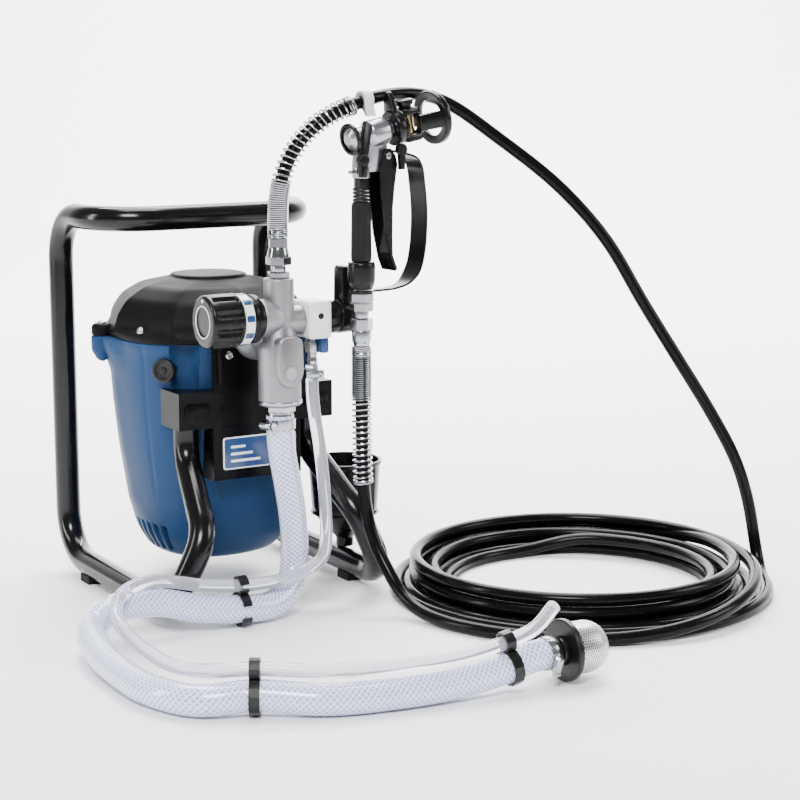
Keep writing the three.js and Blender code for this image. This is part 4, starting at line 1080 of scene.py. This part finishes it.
# ------------------------------------------------------------------ hoses
ARCH = [
    (0, -134, 364.6), (0, -134, 392), (3, -135, 418), (15, -138, 446), (40, -143, 472), (81, -149, 490),
    (141, -130, 497.5), (194, -121, 489), (244, -144, 452), (294, -177, 405), (335, -202, 352),
    (369, -221, 288), (402, -239, 229), (435, -253, 173), (459, -265, 124), (474, -270, 78),
    (479.5, -275, 38), (477, -286, 13)
]
TAIL = [
    (103, -275, 7), (96, -242, 9), (91, -214, 18), (88, -194, 36), (83, -176, 60), (79, -166, 86),
    (76, -162.5, 116), (74.5, -162.8, 150), (73.9, -163, 200), (73.9, -163, 258.4)
]
SUCTION_ROUTE = [
    (0, -134, 194), (0, -134, 176), (2, -134, 155), (7, -134, 128), (12, -135, 92), (12, -138, 58),
    (2, -147, 30), (-22, -158, 16), (-58, -162, 17), (-97, -158, 22), (-145, -154, 34), (-186, -153, 33),
    (-214, -172, 24), (-226, -222, 16), (-230, -280, 14.5), (-226, -332, 14), (-205, -375, 14),
    (-163, -396, 17), (-112, -428, 14), (-52, -444, 14), (5, -451, 16), (50, -454.5, 22.6),
    (72, -455, 27.4), (82, -455, 28), (91.1, -455, 28)
]
RETURN_ROUTE = [
    (35, -134, 239.7), (36, -134, 205), (43, -135, 155), (47, -137, 105), (44, -144, 72), (30, -160, 54),
    (-6, -168, 43), (-34, -165, 39.9), (-58, -162, 39.9), (-97, -158, 44.7), (-145, -156, 54.7),
    (-178, -163, 50.7), (-196, -186, 38.7), (-199, -222, 28.7), (-201, -276, 25.7), (-199, -326, 27.7),
    (-190, -374, 36.5), (-163, -396, 39.9), (-112, -426, 37.8), (-52, -440, 36.3), (5, -450, 38.3),
    (48, -454.5, 45.2), (76, -453, 51.7), (103, -443, 64.7)
]


def ring_point(degrees, radius, z):
    """Points round the coil's centre."""
    a = np.radians(degrees)
    return np.stack(
        [COIL[0] + radius * np.cos(a), COIL[1] + radius * np.sin(a), np.broadcast_to(z, np.shape(a))], -1
    )


def pressure_line():
    """Arch, turns inwards on the floor, turns outwards on them, one more on top, a slope down, the tail.

    Every run is a spiral: radius and height are functions of the angle about the coil's centre.
    """
    low = HOSE + 0.4
    layer = 12.9
    inner = 129.0
    outer = 172.0
    beside = 200.5
    floor_end = -94 - 1620
    second_end = floor_end - 40 - 720
    third_end = -2890

    def rise(start, turn, level):
        angle = np.linspace(start, start - turn, 24)
        share = (start - angle) / turn
        return angle, low + layer * (level + share**2 * (3 - 2 * share))

    entry = np.linspace(-27, -94, 24)
    floor = np.linspace(-94, floor_end, 720)
    first_rise, first_height = rise(floor_end, 40, 0)
    second = np.linspace(floor_end - 40, second_end, 340)
    second_rise, second_height = rise(second_end, 60, 1)
    third = np.linspace(second_end - 60, third_end, 180)
    roll = np.linspace(third_end, third_end - 112, 90)
    fall = np.linspace(0, 1, len(roll))
    slope = math.pi / 2 * fall**2 * (3 - 2 * fall)
    flat = np.linspace(roll[-1], roll[-1] - 30, 16)
    fade = np.clip((second[0] - second) / 90, 0, 1) * np.clip((second - second_end) / 90, 0, 1)
    loose = 2.5 * np.sin(np.radians(second * 1.7)) * fade
    last = outer - 5
    runs = [
        ring_point(entry, np.interp(-entry, [27, 94], [193.0, 187.0]), low),
        ring_point(floor, np.interp(-floor, [94, -floor_end], [187.0, inner]), low),
        ring_point(first_rise, inner, first_height),
        ring_point(
            second, np.interp(-second, [-second[0], -second_end], [inner, outer]) + loose, low + layer
        ),
        ring_point(
            second_rise, np.interp(-second_rise, [-second_end, 60 - second_end], [outer, outer - 14]),
            second_height
        ),
        ring_point(
            third, np.interp(-third, [-third[0], -third_end], [outer - 14, last]), low + 2 * layer
        ),
        ring_point(roll, last + (beside - last) * np.sin(slope), low + 2.03 * layer * np.cos(slope)),
        ring_point(flat, beside, low)
    ]
    turns = np.concatenate([runs[0], *[run[1:] for run in runs[1:]]])
    arch = smooth([*ARCH, turns[0]], 6.0)
    line = evenly(np.concatenate([arch[:-1], turns, smooth([turns[-1], *TAIL], 6.0)[1:]]), 5.0)
    for _ in range(6):
        line[1:-1] = 0.25 * line[:-2] + 0.5 * line[1:-1] + 0.25 * line[2:]
    line[:, 2] = np.maximum(line[:, 2], HOSE + 0.3)
    return evenly(line, 4.5)


def hoses():
    """The three cords with what is fixed on them. Each is a circle swept along its own route."""
    line = pressure_line()
    hose = piece(
        "pressure_hose", swept(line, HOSE, 20), "sheath", "machine",
        ["hose_arch", "hose_coil", "hose_tail"]
    )
    travel = np.concatenate([[0], np.cumsum(np.linalg.norm(np.diff(line, axis=0), axis=1))])
    guard = evenly(line[travel < 158], 1.5)
    place = np.linspace(0, 158, len(guard))
    pump_guard = piece(
        "pump_spring",
        spring(
            guard, 9.0, 1.0,
            np.interp(place, [0, 50, 56, 150, 154, 158], [0.5, 0.5, 0.17, 0.17, 0.45, 0.5])
        ),
        "zinc", "machine", ["pump_spring_guard"]
    )
    end = evenly(line[::-1][travel[-1] - travel[::-1] < 136], 1.5)
    place = np.linspace(0, 136, len(end))
    gun_guard = piece(
        "gun_spring",
        spring(
            end, 9.0, 1.0, np.interp(place, [0, 48, 54, 130, 133, 136], [0.5, 0.5, 0.18, 0.18, 0.45, 0.5])
        ),
        "zinc", "machine", ["gun_spring_guard"]
    )
    suction = smooth(SUCTION_ROUTE, 4.0)
    tube = piece(
        "suction_tube", swept(suction, SUCTION, 40), "braid", "machine", ["suction_hose"]
    )
    cap = merge(
        turned(
            [(0, 92.3), (12.6, 92.3), (13.4, 95.3), (12.6, 98.3), (13.2, 100), (13.2, 103), (0, 103)],
            "x", STRAINER, 0.5, 56
        ),
        turned(
            [(0, 103), (26.5, 103), (27.5, 104), (27.5, 108), (26.5, 109), (0, 109)], "x", STRAINER, 0.5,
            80
        )
    )
    strainer = piece("strainer_disc", cap, "plastic", "machine", ["strainer_cap"])
    dome_profile = [(0, 109.3), (23, 109.3), (23, 130), (20, 138), (14, 144), (0, 146)]
    screen = piece(
        "strainer_screen", turned(dome_profile, "x", STRAINER, 3.0, 80), "wire", "machine",
        ["strainer_mesh"]
    )
    clamp = worm_clamp("strainer_clamp", "x", STRAINER, 13.8, 84, 91.5, 200)
    top_clamp = worm_clamp("suction_clamp", "z", PUMP, 13.9, 181, 191, 200)
    back = smooth(RETURN_ROUTE, 4.0)
    thin = piece("return_pipe", swept(back, RETURN, 28), "clear", "machine", ["return_tube"])
    worm_clamp("return_clamp", "z", (35, -134, 0), 6.5, 229, 236, 250)


# ------------------------------------------------------------------ cup
def parking_cup():
    """Cup and its stem as one turned profile, with a band round it."""
    line = [
        (0, 30.4), (9, 30.4), (9, 40), (33, 66), (34, 73), (37, 117), (38.5, 118), (38.5, 122),
        (35.5, 122), (32, 73), (31, 68), (6.8, 43), (0, 43)
    ]
    rib = tube_ring(rect(30, 66, 35.2, 68), "z", (*CUP, 0), 0.4, 72)
    piece(
        "cup_shell", merge(turned(line, "z", (*CUP, 0), 1.0, 96), rib), "gloss", "machine",
        ["parking_cup"]
    )


# ------------------------------------------------------------------ carried-over CAD nodes
KEPT = {
    "foot_front_left": "rubber", "foot_front_right": "rubber", "foot_rear_left": "rubber",
    "foot_rear_right": "rubber", "front_bracket": "sheet", "label_panel": "sheet",
    "power_rocker": "gloss", "cable_gland": "plastic", "motor_stator": "steel", "motor_rotor": "copper",
    "cooling_fan": "plastic", "gearbox_plate": "cast", "drive_gear": "steel", "drive_yoke": "steel",
    "piston_rod": "zinc", "piston_packing": "rubber", "inlet_ball": "zinc", "outlet_ball": "zinc",
    "gun_trigger": "gloss", "trigger_lock": "gloss", "tube_clip_1": "plastic", "tube_clip_2": "plastic",
    "tube_clip_3": "plastic",
}


EDGE = 0.0006  # metres
EDGE_ANGLE = 35


def dress_nodes():
    """Better materials and slightly eased edges for the CAD nodes that stay in view."""
    for name, material in KEPT.items():
        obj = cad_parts[name]
        obj.data.materials.clear()
        obj.data.materials.append(MAT[material])
        bevel = obj.modifiers.new("edges", "BEVEL")
        bevel.width = EDGE
        bevel.segments = 2
        bevel.limit_method = "ANGLE"
        bevel.angle_limit = math.radians(EDGE_ANGLE)


def floor():
    """Pale sheet: flat under the machine, a quarter circle behind it, then upright."""
    front, bend_start, bend_radius, top, half_width, below = -14.0, 2.2, 1.0, 5.0, 10.0, 0.0002
    turn = np.linspace(0, math.pi / 2, 24)
    depth = np.concatenate([[front], bend_start + bend_radius * np.sin(turn), [bend_start + bend_radius]])
    height = np.concatenate([[0.0], bend_radius - bend_radius * np.cos(turn), [top]]) - below
    ahead = np.array([math.sin(HEADING), math.cos(HEADING)])
    aside = np.array([math.cos(HEADING), -math.sin(HEADING)])
    rows = [depth[:, None] * ahead + side * aside for side in (-half_width, half_width)]
    points = np.concatenate([np.column_stack([part, height]) for part in rows])
    count = len(depth)
    first = np.arange(count - 1)
    quads = np.stack([first, first + 1, first + 1 + count, first + count], -1)[:, ::-1]
    mesh = bpy.data.meshes.new("floor")
    mesh.from_pydata(points.tolist(), [], quads.tolist())
    mesh.polygons.foreach_set("use_smooth", np.ones(len(mesh.polygons), bool))
    material, _, shader = new_material("floor_white")
    shader.inputs["Base Color"].default_value = (0.95, 0.95, 0.95, 1)
    shader.inputs["Roughness"].default_value = 0.8
    mesh.materials.append(material)
    obj = bpy.data.objects.new("floor", mesh)
    bpy.context.scene.collection.objects.link(obj)


stand()
motor_case()
dome()
brush_caps()
bracket_details()
pump_body()
pump_pieces()
knob()
valve()
gun_pieces()
guard_strap()
hoses()
parking_cup()
dress_nodes()
floor()
